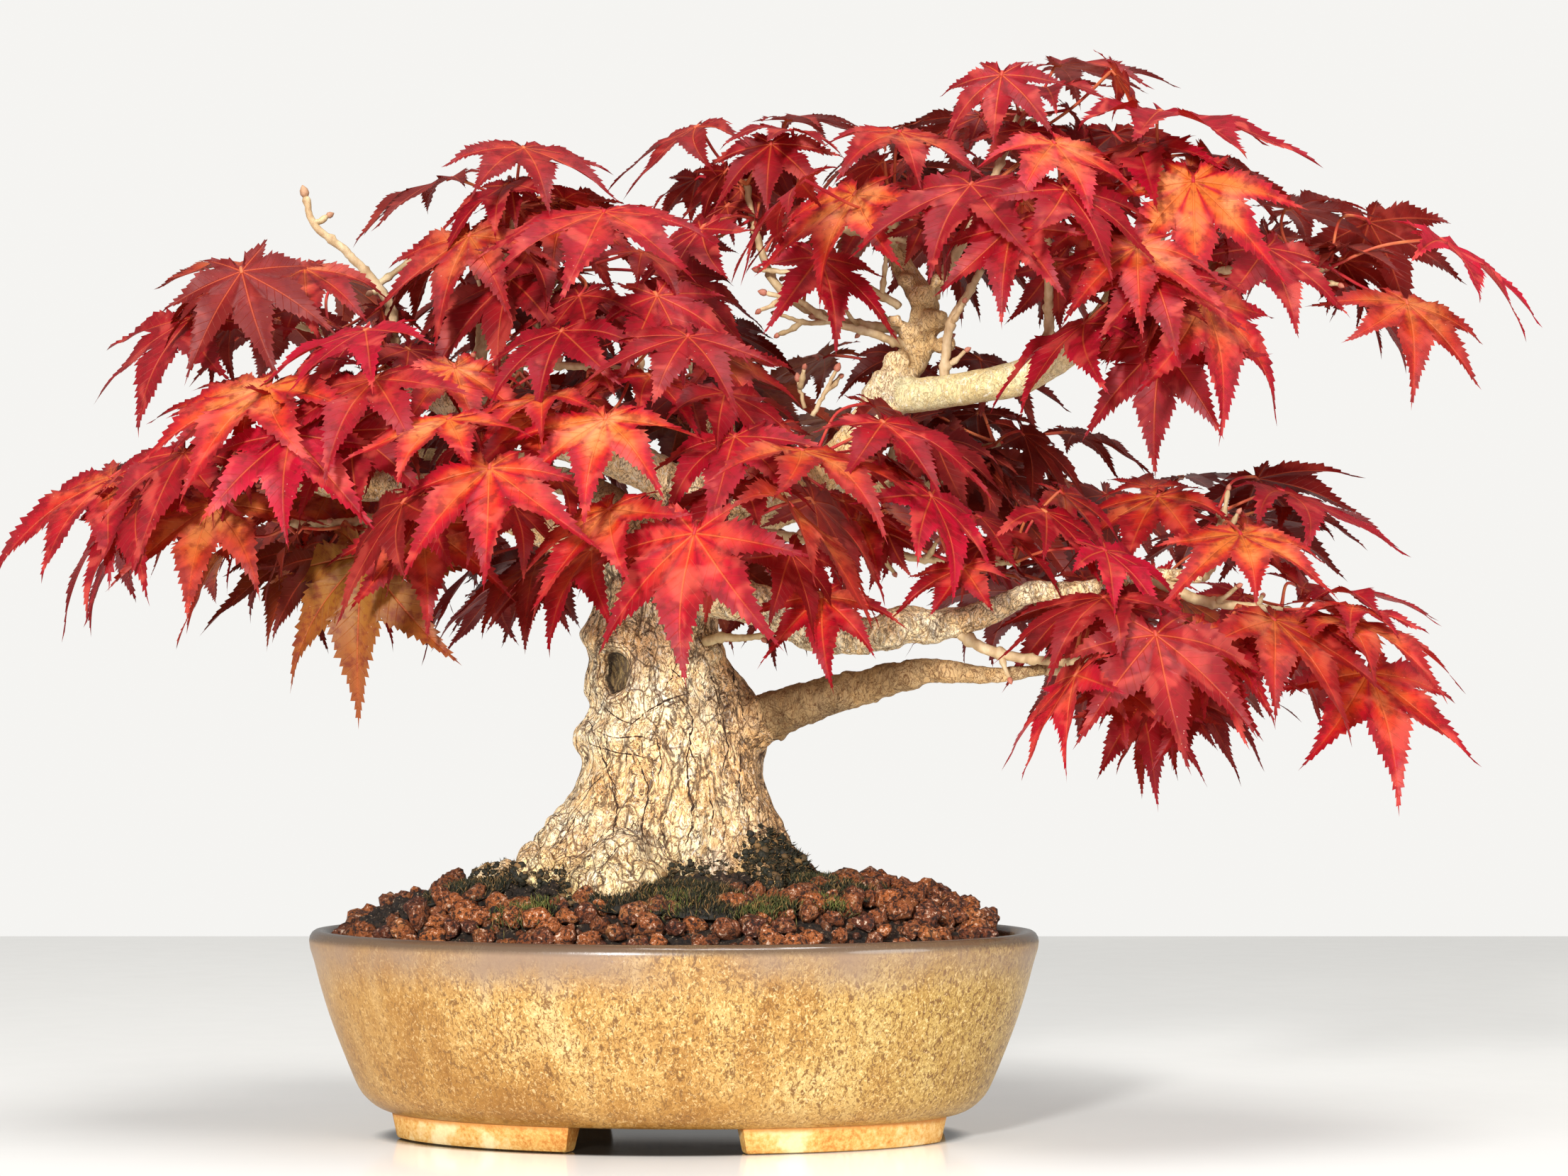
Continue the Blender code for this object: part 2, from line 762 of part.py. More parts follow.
sprays = {
    "spray_crown_top": {
        "from": "crown_leader",
        "route": ((69, 0, 226), (77, -2, 240), (88, -2, 262), (96, 0, 282)),
        "leaves": (
            (107, 5, 295, 80, 0, 33),
            (89, -25, 287, -15, 50, 27),
            (84, 22, 284, 190, 20, 34),
            (112, 18, 276, 130, 30, 34),
            (72, -8, 272, -70, 35, 32),
        ),
    },
    "spray_crown_right": {
        "from": "crown_branch",
        "route": ((130, -26, 238), (133, -25, 252), (131, -24, 266)),
        "leaves": (
            (131, -32, 276, 30, 15, 48),
            (138, -46, 255, -5, 62, 38),
            (146, -6, 268, 85, 25, 38),
            (121, -6, 274, 165, 20, 34),
        ),
    },
    "spray_crown_front": {
        "from": "crown_branch",
        "route": ((102, -20, 209.5), (101, -32, 228), (100, -42, 246)),
        "leaves": (
            (101, -52, 264, 25, 35, 34),
            (103, -64, 250, 30, 38, 34),
            (89, -66, 240, -25, 60, 28),
            (114, -48, 238, 60, 50, 30),
        ),
    },
    "spray_crown_left": {
        "from": "crown_leader",
        "route": ((60.5, 2.8, 244), (60, -12, 249), (60, -26, 252)),
        "leaves": (
            (80, -55, 255, -25, 35, 40),
            (49, -38, 254, -40, 48, 36),
            (62, -30, 270, 10, 20, 34),
            (44, -10, 258, -80, 30, 32),
        ),
    },
    "spray_crown_back": {
        "from": "crown_leader",
        "route": ((62, 2.5, 241), (66, 18, 252), (72, 36, 258), (80, 52, 258)),
        "leaves": (
            (63, 24, 281, -100, 25, 34),
            (90, 30, 268, 60, 20, 34),
            (58, 48, 262, 210, 30, 36),
            (82, 70, 262, 175, 35, 38),
            (104, 58, 252, 120, 35, 36),
        ),
    },
    "spray_crown_arm": {
        "from": "crown_branch",
        "route": ((124, -26, 233), (130, -36, 229), (132, -44, 227)),
        "leaves": (
            (140, -52, 223, 30, 60, 40),
            (108, -42, 219, -55, 32, 36),
            (122, -58, 236, -5, 40, 32),
        ),
    },
    "spray_far_right": {
        "from": "crown_branch",
        "route": ((131, -26, 239), (148, -16, 236), (166, -8, 234), (182, -6, 238)),
        "leaves": (
            (186, 10, 236, 70, 40, 37),
            (211, -10, 244, 60, 35, 40),
            (170, 5, 252, 65, 2, 32),
            (150, 12, 246, 150, 30, 34),
            (160, -26, 240, 20, 45, 32),
        ),
    },
    "spray_top_middle": {
        "from": "crown_leader",
        "route": ((68.5, -0.5, 221), (46, -4, 222.5), (29, -4, 232), (22, -4, 250), (20, -4, 262)),
        "leaves": (
            (6, 0, 277, -50, 30, 30),
            (26, -12, 269, -10, 50, 26),
            (32, 6, 280, 55, 0, 28),
            (22, 22, 266, 170, 30, 32),
            (40, -22, 238, 25, 50, 30),
            (8, -20, 246, -45, 45, 30),
        ),
    },
    "spray_upper_left": {
        "from": "upper_left_branch",
        "route": ((-54, -6, 197), (-51, -12, 218), (-45, -15, 240), (-42, -16, 254)),
        "leaves": (
            (-40, -20, 268, 20, 25, 34),
            (-54, -28, 243, -25, 45, 34),
            (-62, -4, 262, -70, 20, 34),
            (-30, 6, 258, 130, 25, 34),
            (-66, 8, 238, -110, 35, 32),
        ),
    },
    "spray_upper_middle": {
        "from": "upper_left_branch",
        "route": ((-32, -6, 190), (-37, -16, 207), (-35, -20, 221), (-26, -22, 236)),
        "leaves": (
            (-17, -45, 247, -10, 25, 44),
            (-24, -35, 226, -38, 38, 29),
            (-2, -21, 241, 66, 30, 34),
            (-8, -34, 226, 30, 45, 30),
        ),
    },
    "spray_middle": {
        "from": "upper_left_branch",
        "route": ((-46, -6, 194), (-51, -24, 203), (-44, -32, 208), (-28, -34, 207.5), (-8, -36, 206)),
        "leaves": (
            (8, -60, 214, -20, 22, 34),
            (-32, -60, 197, -40, 18, 30),
            (-15, -73, 190, -15, 40, 34),
            (-26, -52, 215, -15, 35, 32),
            (14, -44, 198, 40, 35, 32),
        ),
    },
    "spray_front_left": {
        "from": "lower_left_branch",
        "route": ((-42, -14, 169), (-44, -32, 176), (-46, -50, 180), (-47, -62, 181)),
        "leaves": (
            (-42, -83, 177, 5, 42, 38),
            (-55, -72, 190, -30, 22, 34),
            (-60, -60, 172, -50, 50, 34),
            (-34, -56, 192, 10, 35, 30),
        ),
    },
    "spray_front": {
        "from": "trunk",
        "route": ((-3, -4, 155), (2, -22, 158), (9, -44, 161), (16, -62, 162)),
        "leaves": (
            (8, -88, 160, -25, 60, 41),
            (29, -84, 163, 40, 45, 42),
            (40, -66, 145, 0, 50, 26),
            (-14, -74, 167, -45, 40, 36),
            (-20, -46, 158, -50, 45, 32),
        ),
    },
    "spray_centre_right": {
        "from": "crown_limb",
        "route": ((20, 0, 174.5), (24, -20, 178), (32, -38, 181), (40, -50, 183)),
        "leaves": (
            (35, -72, 182, 40, 15, 40),
            (56, -62, 190, 30, 25, 34),
            (20, -56, 190, -20, 30, 34),
            (60, -40, 180, 70, 40, 32),
        ),
    },
    "spray_right_middle": {
        "from": "trunk",
        "route": (
            (0, -4, 162),
            (20, -20, 164),
            (39, -25, 161),
            (52, -28, 159),
            (70, -30, 156),
            (93, -32, 155),
        ),
        "leaves": (
            (71, -56, 173, 35, 45, 30),
            (99, -44, 168, 45, 30, 26),
            (113, -56, 162, 45, 28, 27),
            (84, -30, 172, 60, 25, 30),
            (58, -10, 170, 120, 35, 32),
        ),
    },
    "spray_behind_right": {
        "from": "back_right_branch",
        "route": ((28, 34, 172), (50, 34, 181), (74, 34, 188), (92, 34, 192)),
        "leaves": (
            (98, 24, 194, 110, 45, 32),
            (114, 46, 196, 100, 15, 28),
            (72, 14, 192, 20, 40, 32),
            (88, 56, 190, 160, 40, 32),
        ),
    },
    "spray_left_top": {
        "from": "upper_left_branch",
        "route": ((-78, 6, 213), (-92, 4, 219), (-105, 0, 223), (-113, -1, 229)),
        "leaves": (
            (-118, 5, 240, -50, 5, 30),
            (-131, -11, 223, -35, 40, 40),
            (-100, -14, 236, 10, 35, 30),
            (-112, 22, 228, 200, 30, 34),
            (-92, 22, 234, 140, 30, 32),
        ),
    },
    "spray_left_middle": {
        "from": "upper_left_branch",
        "route": ((-68, -3, 204), (-72, -18, 208), (-76, -30, 208)),
        "leaves": (
            (-80, -42, 216, -35, 22, 36),
            (-76, -54, 202, -25, 32, 38),
            (-88, -28, 220, -80, 25, 32),
            (-56, -44, 210, 20, 40, 30),
        ),
    },
    "spray_left_front": {
        "from": "lower_left_branch",
        "route": ((-92, -20, 177), (-96, -29, 187), (-99, -36, 195)),
        "leaves": (
            (-104, -48, 200, -35, 30, 44),
            (-97, -60, 187, -5, 50, 36),
            (-112, -32, 207, -60, 15, 36),
            (-82, -58, 184, 15, 50, 32),
        ),
    },
    "spray_left_tip": {
        "from": "lower_left_branch",
        "route": ((-126, -19, 184), (-136, -16, 184), (-145, -12, 183)),
        "leaves": (
            (-152, -15, 179, -40, 35, 44),
            (-139, -33, 171, -45, 45, 42),
            (-161, 5, 178, -35, 35, 24),
            (-128, -40, 184, -20, 40, 34),
            (-146, 14, 184, -120, 30, 36),
        ),
    },
    "spray_left_low": {
        "from": "lower_left_branch",
        "route": ((-66, -18, 175), (-78, -22, 168), (-92, -24, 166), (-104, -24, 166)),
        "leaves": (
            (-122, -36, 169, -15, 45, 38),
            (-81, -34, 157, -20, 75, 44),
            (-102, 0, 160, -25, 45, 38),
            (-64, -36, 162, 10, 55, 34),
        ),
    },
    "spray_lower_right": {
        "from": "upper_right_branch",
        "route": ((74, -30.5, 139), (84, -34, 132), (98, -38, 129), (108, -47, 129), (114, -56, 131)),
        "leaves": (
            (125, -71, 135, 10, 50, 40),
            (113, -58, 145, -35, 20, 34),
            (138, -58, 136, 40, 50, 34),
        ),
    },
    "spray_right_tip": {
        "from": "upper_right_branch",
        "route": ((126, -38, 151.4), (140, -39, 145), (156, -35, 143), (170, -28, 142)),
        "leaves": (
            (157, -52, 138, 40, 38, 40),
            (178, -36, 140, 50, 18, 42),
            (179, -18, 148, 60, 2, 30),
            (187, -24, 126, 20, 50, 40),
            (164, -8, 138, 130, 40, 34),
        ),
    },
    "spray_right_top": {
        "from": "upper_right_branch",
        "route": ((141, -39, 151.2), (146, -28, 158), (149, -14, 165), (150, 0, 171)),
        "leaves": (
            (150, -46, 162, 5, 25, 34),
            (167, -5, 176, 60, 20, 40),
            (143, 26, 182, 110, -5, 30),
            (132, -12, 174, -30, 30, 34),
            (162, 18, 170, 140, 30, 34),
        ),
    },
    "spray_right_under": {
        "from": "lower_right_branch",
        "route": ((100, -33, 126.8), (114, -18, 126), (130, 0, 125), (138, 12, 125)),
        "leaves": (
            (144, 12, 121, 35, 40, 30),
            (152, 30, 125, 125, 15, 26),
            (120, 16, 132, -160, 35, 32),
            (126, -24, 118, 20, 60, 28),
        ),
    },
    "spray_under_middle": {
        "from": "back_left_branch",
        "route": ((-16, 25, 173), (-24, 22, 166), (-34, 18, 162)),
        "leaves": (
            (-38, 2, 156, -50, 30, 30),
            (-54, 14, 158, -80, 45, 32),
            (-40, 38, 158, -150, 40, 34),
        ),
    },
    "spray_back_left": {
        "from": "back_left_branch",
        "route": ((-80, 76, 192), (-90, 80, 194), (-100, 82, 194)),
        "fill": {"count": 6, "size": 38, "reach": 24, "drop": 35},
    },
    "spray_back_left_high": {
        "from": "back_left_branch",
        "route": ((-42, 52, 185), (-46, 52, 202), (-46, 50, 220), (-42, 48, 234)),
        "fill": {"count": 7, "size": 37, "reach": 24, "drop": 30},
    },
    "spray_back_middle": {
        "from": "back_right_branch",
        "route": ((20, 25, 168), (14, 50, 172), (6, 76, 174), (0, 94, 172)),
        "fill": {"count": 7, "size": 38, "reach": 22, "drop": 38},
    },
    "spray_back_middle_high": {
        "from": "trunk",
        "route": ((10.5, 2, 192), (8, 24, 202), (4, 44, 214), (0, 58, 224)),
        "fill": {"count": 7, "size": 38, "reach": 22, "drop": 30},
    },
    "spray_back_right": {
        "from": "back_right_branch",
        "route": ((90, 84, 184), (100, 86, 185), (112, 84, 184)),
        "fill": {"count": 6, "size": 38, "reach": 24, "drop": 38},
    },
    "spray_back_right_high": {
        "from": "back_right_branch",
        "route": ((60, 63.5, 180.5), (64, 64, 198), (68, 62, 214), (70, 60, 226)),
        "fill": {"count": 6, "size": 37, "reach": 24, "drop": 32},
    },
    "spray_back_far_right": {
        "from": "upper_right_branch",
        "route": ((90, -33, 144.4), (100, -14, 147), (112, 10, 150), (124, 34, 152), (132, 50, 152)),
        "fill": {"count": 6, "size": 36, "reach": 22, "drop": 38},
    },
    "spray_back_far_left": {
        "from": "lower_left_branch",
        "route": ((-84, -19.6, 176.5), (-92, 4, 179), (-102, 26, 182), (-110, 46, 183)),
        "fill": {"count": 6, "size": 37, "reach": 22, "drop": 36},
    },
    "bare_twig": {
        "from": "upper_left_branch",
        "route": ((-78, 6, 213), (-79.6, 8, 229), (-91, 5, 243), (-99.5, 3, 250), (-102, 2, 258)),
        "shoots": ((-67, 12, 248), (-84, 6, 232), (-96.5, 5, 253)),
    },
}

twig_start_radius = 1.7
twig_end_radius = 0.9
shoot_radius = 0.7
node_length = 2.0  # the stretch of twig at each pair of stalks
facing_weight = 14.0  # how much a stalk prefers the side of the twig that faces its leaf
fill_golden_angle = 137.5
partner_share = 0.5  # the share of a spray's leaves that have a partner
partner_turn = 75.0  # degrees round the twig from a leaf to its partner
partner_reach = 0.9
partner_lift = 7.0
partner_droop = 6.0
partner_size = 0.86
open_front = (34.0, 150.0)  # half-width and height of the trunk's front, which partners leave in view


def fill_leaves(route, count, size, reach, drop):
    # Leaves spread round a twig by the golden angle, each pointing away from it.
    places = [Vector(p[:3]) for p in smooth_route(route, 4.0)]
    out = []
    for i in range(count):
        share = 0.35 + 0.65 * i / max(count - 1, 1)
        at = places[round(share * (len(places) - 1))]
        aim = fill_seed * 31 + i * fill_golden_angle
        radians = math.radians(aim)
        away = Vector((math.sin(radians), -math.cos(radians), 0)) * reach
        lift = 6 - 11 * (i % 3)
        place = at + away + Vector((0, 0, lift))
        out.append((*place, aim % 360, drop + 6 * (i % 3) - 6, size - 3 * (i % 3)))
    return out


def partners(leaves, route):
    # Smaller leaves across the twig from the spray's own, turned to either side by turns.
    path = [Vector(p[:3]) for p in smooth_route(route, 4.0)]
    out = []
    for i, (x, y, z, aim, droop, size) in enumerate(leaves[: math.ceil(len(leaves) * partner_share)]):
        place = Vector((x, y, z))
        near = min(path, key=lambda p: (p - place).length)
        turn = partner_turn if i % 2 else -partner_turn
        away = Matrix.Rotation(math.radians(turn), 3, "Z") @ (place - near) * partner_reach
        lift = partner_lift if i % 2 else -partner_lift
        place = near + away + Vector((0, 0, lift))
        partner = (*place, aim + turn, droop + partner_droop, size * partner_size)
        tip = place + leaf_axes(partner[3], partner[4])[0] * partner[5]
        if abs(tip.x) > open_front[0] or tip.y > 0 or tip.z > open_front[1]:
            out.append(partner)
    return out


def wood_skins():
    skins = {"trunk": rings_to_solid([trunk_ring(section, gap) for section in trunk_sections])}
    for name, limb in limbs.items():
        skins[name] = tube_skin(smooth_route(limb["route"], limb_step), limb_sides, gap)
    return skins


def tree_of(points, faces):
    return BVHTree.FromPolygons([Vector(p) for p in points], faces)


class Twig:
    # The twig of one spray: its rings, and the squares on its sides that stalks grow from.

    def __init__(self, name, spec, parent_tree):
        self.name = name
        leaves = list(spec.get("leaves", ()))
        if "fill" in spec:
            leaves += fill_leaves(spec["route"], **spec["fill"])
        self.leaves = leaves
        self.partners = partners(leaves, spec["route"])
        self.shoots = list(spec.get("shoots", ()))
        route = [Vector(p) for p in smooth_route(spec["route"], 3.0)]
        self.path = self.outside(route, parent_tree)
        self.build_rings()

    def outside(self, route, parent_tree):
        # The part of the route that is clear of the limb it grows from.
        for start in range(len(route) - 2):
            rest = route[start:]
            ring = self.ring_at(rest[0], (rest[1] - rest[0]).normalized(), twig_start_radius)
            if all(self.is_clear(p, parent_tree) for p in ring + [rest[0]]):
                return rest
        raise ValueError(self.name + " never leaves its limb")

    def is_clear(self, point, parent_tree):
        found, normal, _, distance = parent_tree.find_nearest(point)
        return (point - found).dot(normal) > 0 and distance > gap

    def ring_at(self, place, tangent, radius):
        side = tangent.cross(Vector((0, 0, 1)))
        if side.length < 0.2:
            side = tangent.cross(Vector((0, -1, 0)))
        side.normalize()
        over = tangent.cross(side)
        return [
            place + (side * math.cos(a) + over * math.sin(a)) * radius
            for a in (math.pi / 4 + i * math.pi / 2 for i in range(twig_sides))
        ]

    def point_at(self, distance):
        walked = 0.0
        for a, b in zip(self.path, self.path[1:]):
            length = (b - a).length
            if walked + length >= distance:
                return a.lerp(b, (distance - walked) / length)
            walked += length
        return self.path[-1]

    def build_rings(self):
        length = sum((b - a).length for a, b in zip(self.path, self.path[1:]))
        carried = len(self.leaves) + len(self.partners) + len(self.shoots)
        nodes = max(1, math.ceil(carried / 2))
        last = length - node_length - 0.6
        first = last if nodes == 1 else min(0.4 * length, last - (nodes - 1) * (node_length + 1.5))
        starts = [first + (last - first) * i / max(nodes - 1, 1) for i in range(nodes)]
        stations = [0.0]
        self.node_levels = []
        for start in starts:
            spare = start - stations[-1]
            between = int(spare // 14.0)
            stations += [stations[-1] + spare * (i + 1) / (between + 1) for i in range(between)]
            self.node_levels.append(len(stations))
            stations += [start, start + node_length]
        stations.append(length)
        places = [self.point_at(s) for s in stations]
        self.rings = []
        for i, (place, (_, side, over)) in enumerate(zip(places, frames_along(places))):
            share = stations[i] / length
            radius = twig_start_radius + (twig_end_radius - twig_start_radius) * share
            swell = 1.25 if i in self.node_levels or i - 1 in self.node_levels else 1.0
            if i == len(places) - 1:
                swell = 0.6
            angles = (math.pi / 4 + k * math.pi / 2 for k in range(twig_sides))
            self.rings.append(
                [place + (side * math.cos(a) + over * math.sin(a)) * radius * swell for a in angles]
            )
        self.points, self.faces = rings_to_solid(self.rings)
        self.free = [(level, i) for level in self.node_levels for i in range(twig_sides)]
        self.used = set()

    def square(self, level, i):
        # The face between ring corners i and i + 1 at a node, as point numbers going round outwards.
        j = (i + 1) % twig_sides
        base = level * twig_sides
        return (base + i, base + j, base + twig_sides + j, base + twig_sides + i)

    def best_square(self, target):
        # The free square that faces a place best.
        def score(entry):
            corners = [self.points[k] for k in self.square(*entry)]
            middle = sum(corners, Vector()) / 4
            normal = (corners[1] - corners[0]).cross(corners[3] - corners[0]).normalized()
            away = target - middle
            return away.length - facing_weight * normal.dot(away.normalized())

        return min(self.free, key=score)

    def join(self, square, shift, skin_points, skin_faces):
        # Joins a skin whose first four points are the square's corners.
        corners = self.square(*square)
        corners = corners[shift:] + corners[:shift]
        offset = len(self.points) - 4
        renumber = dict(zip(range(4), corners))
        self.faces.extend(tuple(renumber.get(k, k + offset) for k in face) for face in skin_faces)
        self.points.extend(skin_points[4:])
        self.used.add(frozenset(corners))
        self.free.remove(square)

    def add_shoot(self, end, around):
        square = self.best_square(Vector(end))
        base = [self.points[k] for k in self.square(*square)]
        skin = shoot_skin(base, end, shoot_radius)
        around.append(Taken(self.name, *skin, root_faces=4))
        self.join(square, 0, *skin)

    def add_leaf(self, leaf, around):
        # Joins a leaf where it is clear of everything, moved a little if it must be. 1 if it found room.
        square = self.best_square(Vector(leaf[:3]))
        base = [self.points[k] for k in self.square(*square)]
        for change in tries():
            moved = tuple(value + part for value, part in zip(leaf[:5], change[:5]))
            skin_points, skin_faces, shift = leaf_skin(base, moved + (leaf[5],), change[5])
            room = Taken(self.name, skin_points, skin_faces, root_faces=4)
            if fits(room, around):
                around.append(room)
                self.join(square, shift, skin_points, skin_faces)
                return 1
        print(self.name, "has no room for the leaf at", [round(v) for v in leaf[:3]])
        return 0

    def finish(self):
        covered = [face for face in self.faces if len(face) == 4 and frozenset(face) in self.used]
        faces = [face for face in self.faces if face not in covered]
        piece(self.name, self.points, faces, "red_leaf", smooth=60.0)


def tries():
    # Small changes to a leaf's place and pose, the smallest first.
    yield (0, 0, 0, 0, 0, 0)
    for k in range(1, 90):
        turn = k * 2.399963
        reach = 0.55 * math.sqrt(k)
        yield (
            reach * math.cos(turn) * 1.5,
            reach * math.sin(turn * 1.3) * 2.4,
            reach * math.sin(turn) * 1.8,
            3.0 * reach * math.cos(turn * 1.7),
            2.6 * reach * math.sin(turn * 0.7),
            7.0 * reach * math.sin(turn * 2.1),
        )


class Taken:
    # Room that something already takes: its owner, its box, and its skin with and without its root.

    def __init__(self, owner, points, faces, root_faces=0):
        self.owner = owner
        self.low = [min(p[i] for p in points) for i in range(3)]
        self.high = [max(p[i] for p in points) for i in range(3)]
        self.whole = tree_of(points, faces)
        self.beyond_root = tree_of(points, faces[root_faces:]) if root_faces else self.whole

    def near(self, other):
        return all(self.low[i] <= other.high[i] and self.high[i] >= other.low[i] for i in range(3))


def fits(leaf, around):
    # Whether a leaf is clear of everything there; its root may touch its own twig and neighbours.
    for other in around:
        if not leaf.near(other):
            continue
        if other.owner == leaf.owner:
            if leaf.beyond_root.overlap(other.beyond_root):
                return False
        elif leaf.whole.overlap(other.whole):
            return False
    return True


def make_foliage():
    wood = [Taken(name, *skin) for name, skin in wood_skins().items()]
    twigs = []
    around = list(wood)
    for name, spec in sprays.items():
        parent = next(limb for limb in wood if limb.owner == spec["from"])
        twig = Twig(name, spec, parent.whole)
        room = Taken(name, twig.points, twig.faces)
        for other in around:
            if other.owner != spec["from"] and room.whole.overlap(other.whole):
                print(name, "twig meets", other.owner)
        twigs.append(twig)
        around.append(room)
    for twig in twigs:
        for end in twig.shoots:
            twig.add_shoot(end, around)
    placed = sum(twig.add_leaf(leaf, around) for twig in twigs for leaf in twig.leaves)
    placed += sum(twig.add_leaf(leaf, around) for twig in twigs for leaf in twig.partners)
    for twig in twigs:
        twig.finish()
    print(placed, "leaves")


def centre_on_origin():
    # Moves the tree so that the middle of its box, seen from above, is over the origin.
    bpy.context.view_layer.update()
    graph = bpy.context.evaluated_depsgraph_get()
    low, high = Vector((1e9,) * 3), Vector((-1e9,) * 3)
    for made in bpy.context.scene.objects:
        if made.type != "MESH" or made.hide_render:
            continue
        shape = made.evaluated_get(graph)
        for vertex in shape.data.vertices:
            place = shape.matrix_world @ vertex.co
            low = Vector(map(min, low, place))
            high = Vector(map(max, high, place))
    tree_place.location = (-(low.x + high.x) / 2, -(low.y + high.y) / 2, -low.z)
    print("pot centre at", [round(v, 4) for v in tree_place.location])


trunk_solid("trunk")
trunk_solid("trunk_clearance", extra=gap, cutter=True)
make_limbs()
make_pot()
for side_label, side_x in (("left", -drain_hole_place), ("right", drain_hole_place)):
    make_screen(side_label, side_x)
    make_clip(side_label, side_x)
tube("anchor_wire", anchor_route(), 8, "training_wire", pot_place)
tube("anchor_wire_clearance", anchor_route(gap), 8, "training_wire", pot_place, cutter=True)
soil_low = make_drainage_layer()
make_soil(soil_low)
make_moss("moss_front", 4, -44, 22, 9, 2.6)
make_moss("moss_left", -52, -22, 13, 11, 2.4)
make_moss("moss_right", 43, -20, 17, 12, 2.4)
make_moss("moss_back", -6, 42, 26, 9, 2.4)
make_foliage()
centre_on_origin()
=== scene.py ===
import math
import random

import bmesh
import bpy
import numpy as np
from mathutils import Matrix, Vector, noise
from mathutils.bvhtree import BVHTree
from mathutils.kdtree import KDTree


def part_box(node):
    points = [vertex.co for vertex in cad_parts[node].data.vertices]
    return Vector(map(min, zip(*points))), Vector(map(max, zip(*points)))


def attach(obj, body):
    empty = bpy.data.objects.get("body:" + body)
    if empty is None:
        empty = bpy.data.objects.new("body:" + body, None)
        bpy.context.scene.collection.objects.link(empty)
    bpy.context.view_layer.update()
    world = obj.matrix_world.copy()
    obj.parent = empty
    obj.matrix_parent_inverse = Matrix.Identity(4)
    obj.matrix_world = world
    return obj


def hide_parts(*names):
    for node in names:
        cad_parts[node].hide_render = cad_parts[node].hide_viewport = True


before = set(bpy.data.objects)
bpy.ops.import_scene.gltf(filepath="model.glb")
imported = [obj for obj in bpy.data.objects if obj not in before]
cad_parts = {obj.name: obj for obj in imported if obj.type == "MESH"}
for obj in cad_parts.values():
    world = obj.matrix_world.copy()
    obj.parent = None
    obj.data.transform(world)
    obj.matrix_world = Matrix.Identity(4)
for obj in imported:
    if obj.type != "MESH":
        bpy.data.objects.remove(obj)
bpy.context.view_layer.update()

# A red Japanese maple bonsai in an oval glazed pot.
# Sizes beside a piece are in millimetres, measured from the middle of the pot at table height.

mm = 0.001
potLow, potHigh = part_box("pot")
potMiddle = Vector(((potLow.x + potHigh.x) / 2, (potLow.y + potHigh.y) / 2, 0))
potTurn = math.radians(-4)


def fromPot(x, y, z):
    # Millimetres from the pot's middle to metres in the frame.
    return potMiddle + Vector((x, y, z)) * mm


def alongPot(x, y, z):
    # The same, but with x running along the pot, which stands turned a little.
    cosine, sine = math.cos(potTurn), math.sin(potTurn)
    return fromPot(x * cosine - y * sine, x * sine + y * cosine, z)


def smoothStep(low, high, value):
    share = min(max((value - low) / (high - low), 0), 1)
    return share * share * (3 - 2 * share)


# Shader helpers.

class Wire:
    # A socket that can be used in an expression: each operator adds a Math node.

    def __init__(self, finish, socket):
        self.finish = finish
        self.socket = socket

    def math(self, operation, first, second=None):
        return self.finish.node("ShaderNodeMath", {"operation": operation}, {0: first, 1: second})

    def __add__(self, other):
        return self.math("ADD", self, other)

    def __radd__(self, other):
        return self.math("ADD", other, self)

    def __sub__(self, other):
        return self.math("SUBTRACT", self, other)

    def __rsub__(self, other):
        return self.math("SUBTRACT", other, self)

    def __mul__(self, other):
        return self.math("MULTIPLY", self, other)

    def __rmul__(self, other):
        return self.math("MULTIPLY", other, self)

    def __abs__(self):
        return self.math("ABSOLUTE", self)

    def sine(self):
        return self.math("SINE", self)

    def clamp(self):
        return self.finish.node("ShaderNodeClamp", {}, {"Value": self})

    def step(self, low, high):
        # 0 below low and 1 above high, with a soft way between; high may be the lower one.
        settings = {"interpolation_type": "SMOOTHSTEP"}
        values = {"Value": self, "From Min": low, "From Max": high, "To Min": 0, "To Max": 1}
        if high < low:
            values.update({"From Min": high, "From Max": low, "To Min": 1, "To Max": 0})
        return self.finish.node("ShaderNodeMapRange", settings, values)


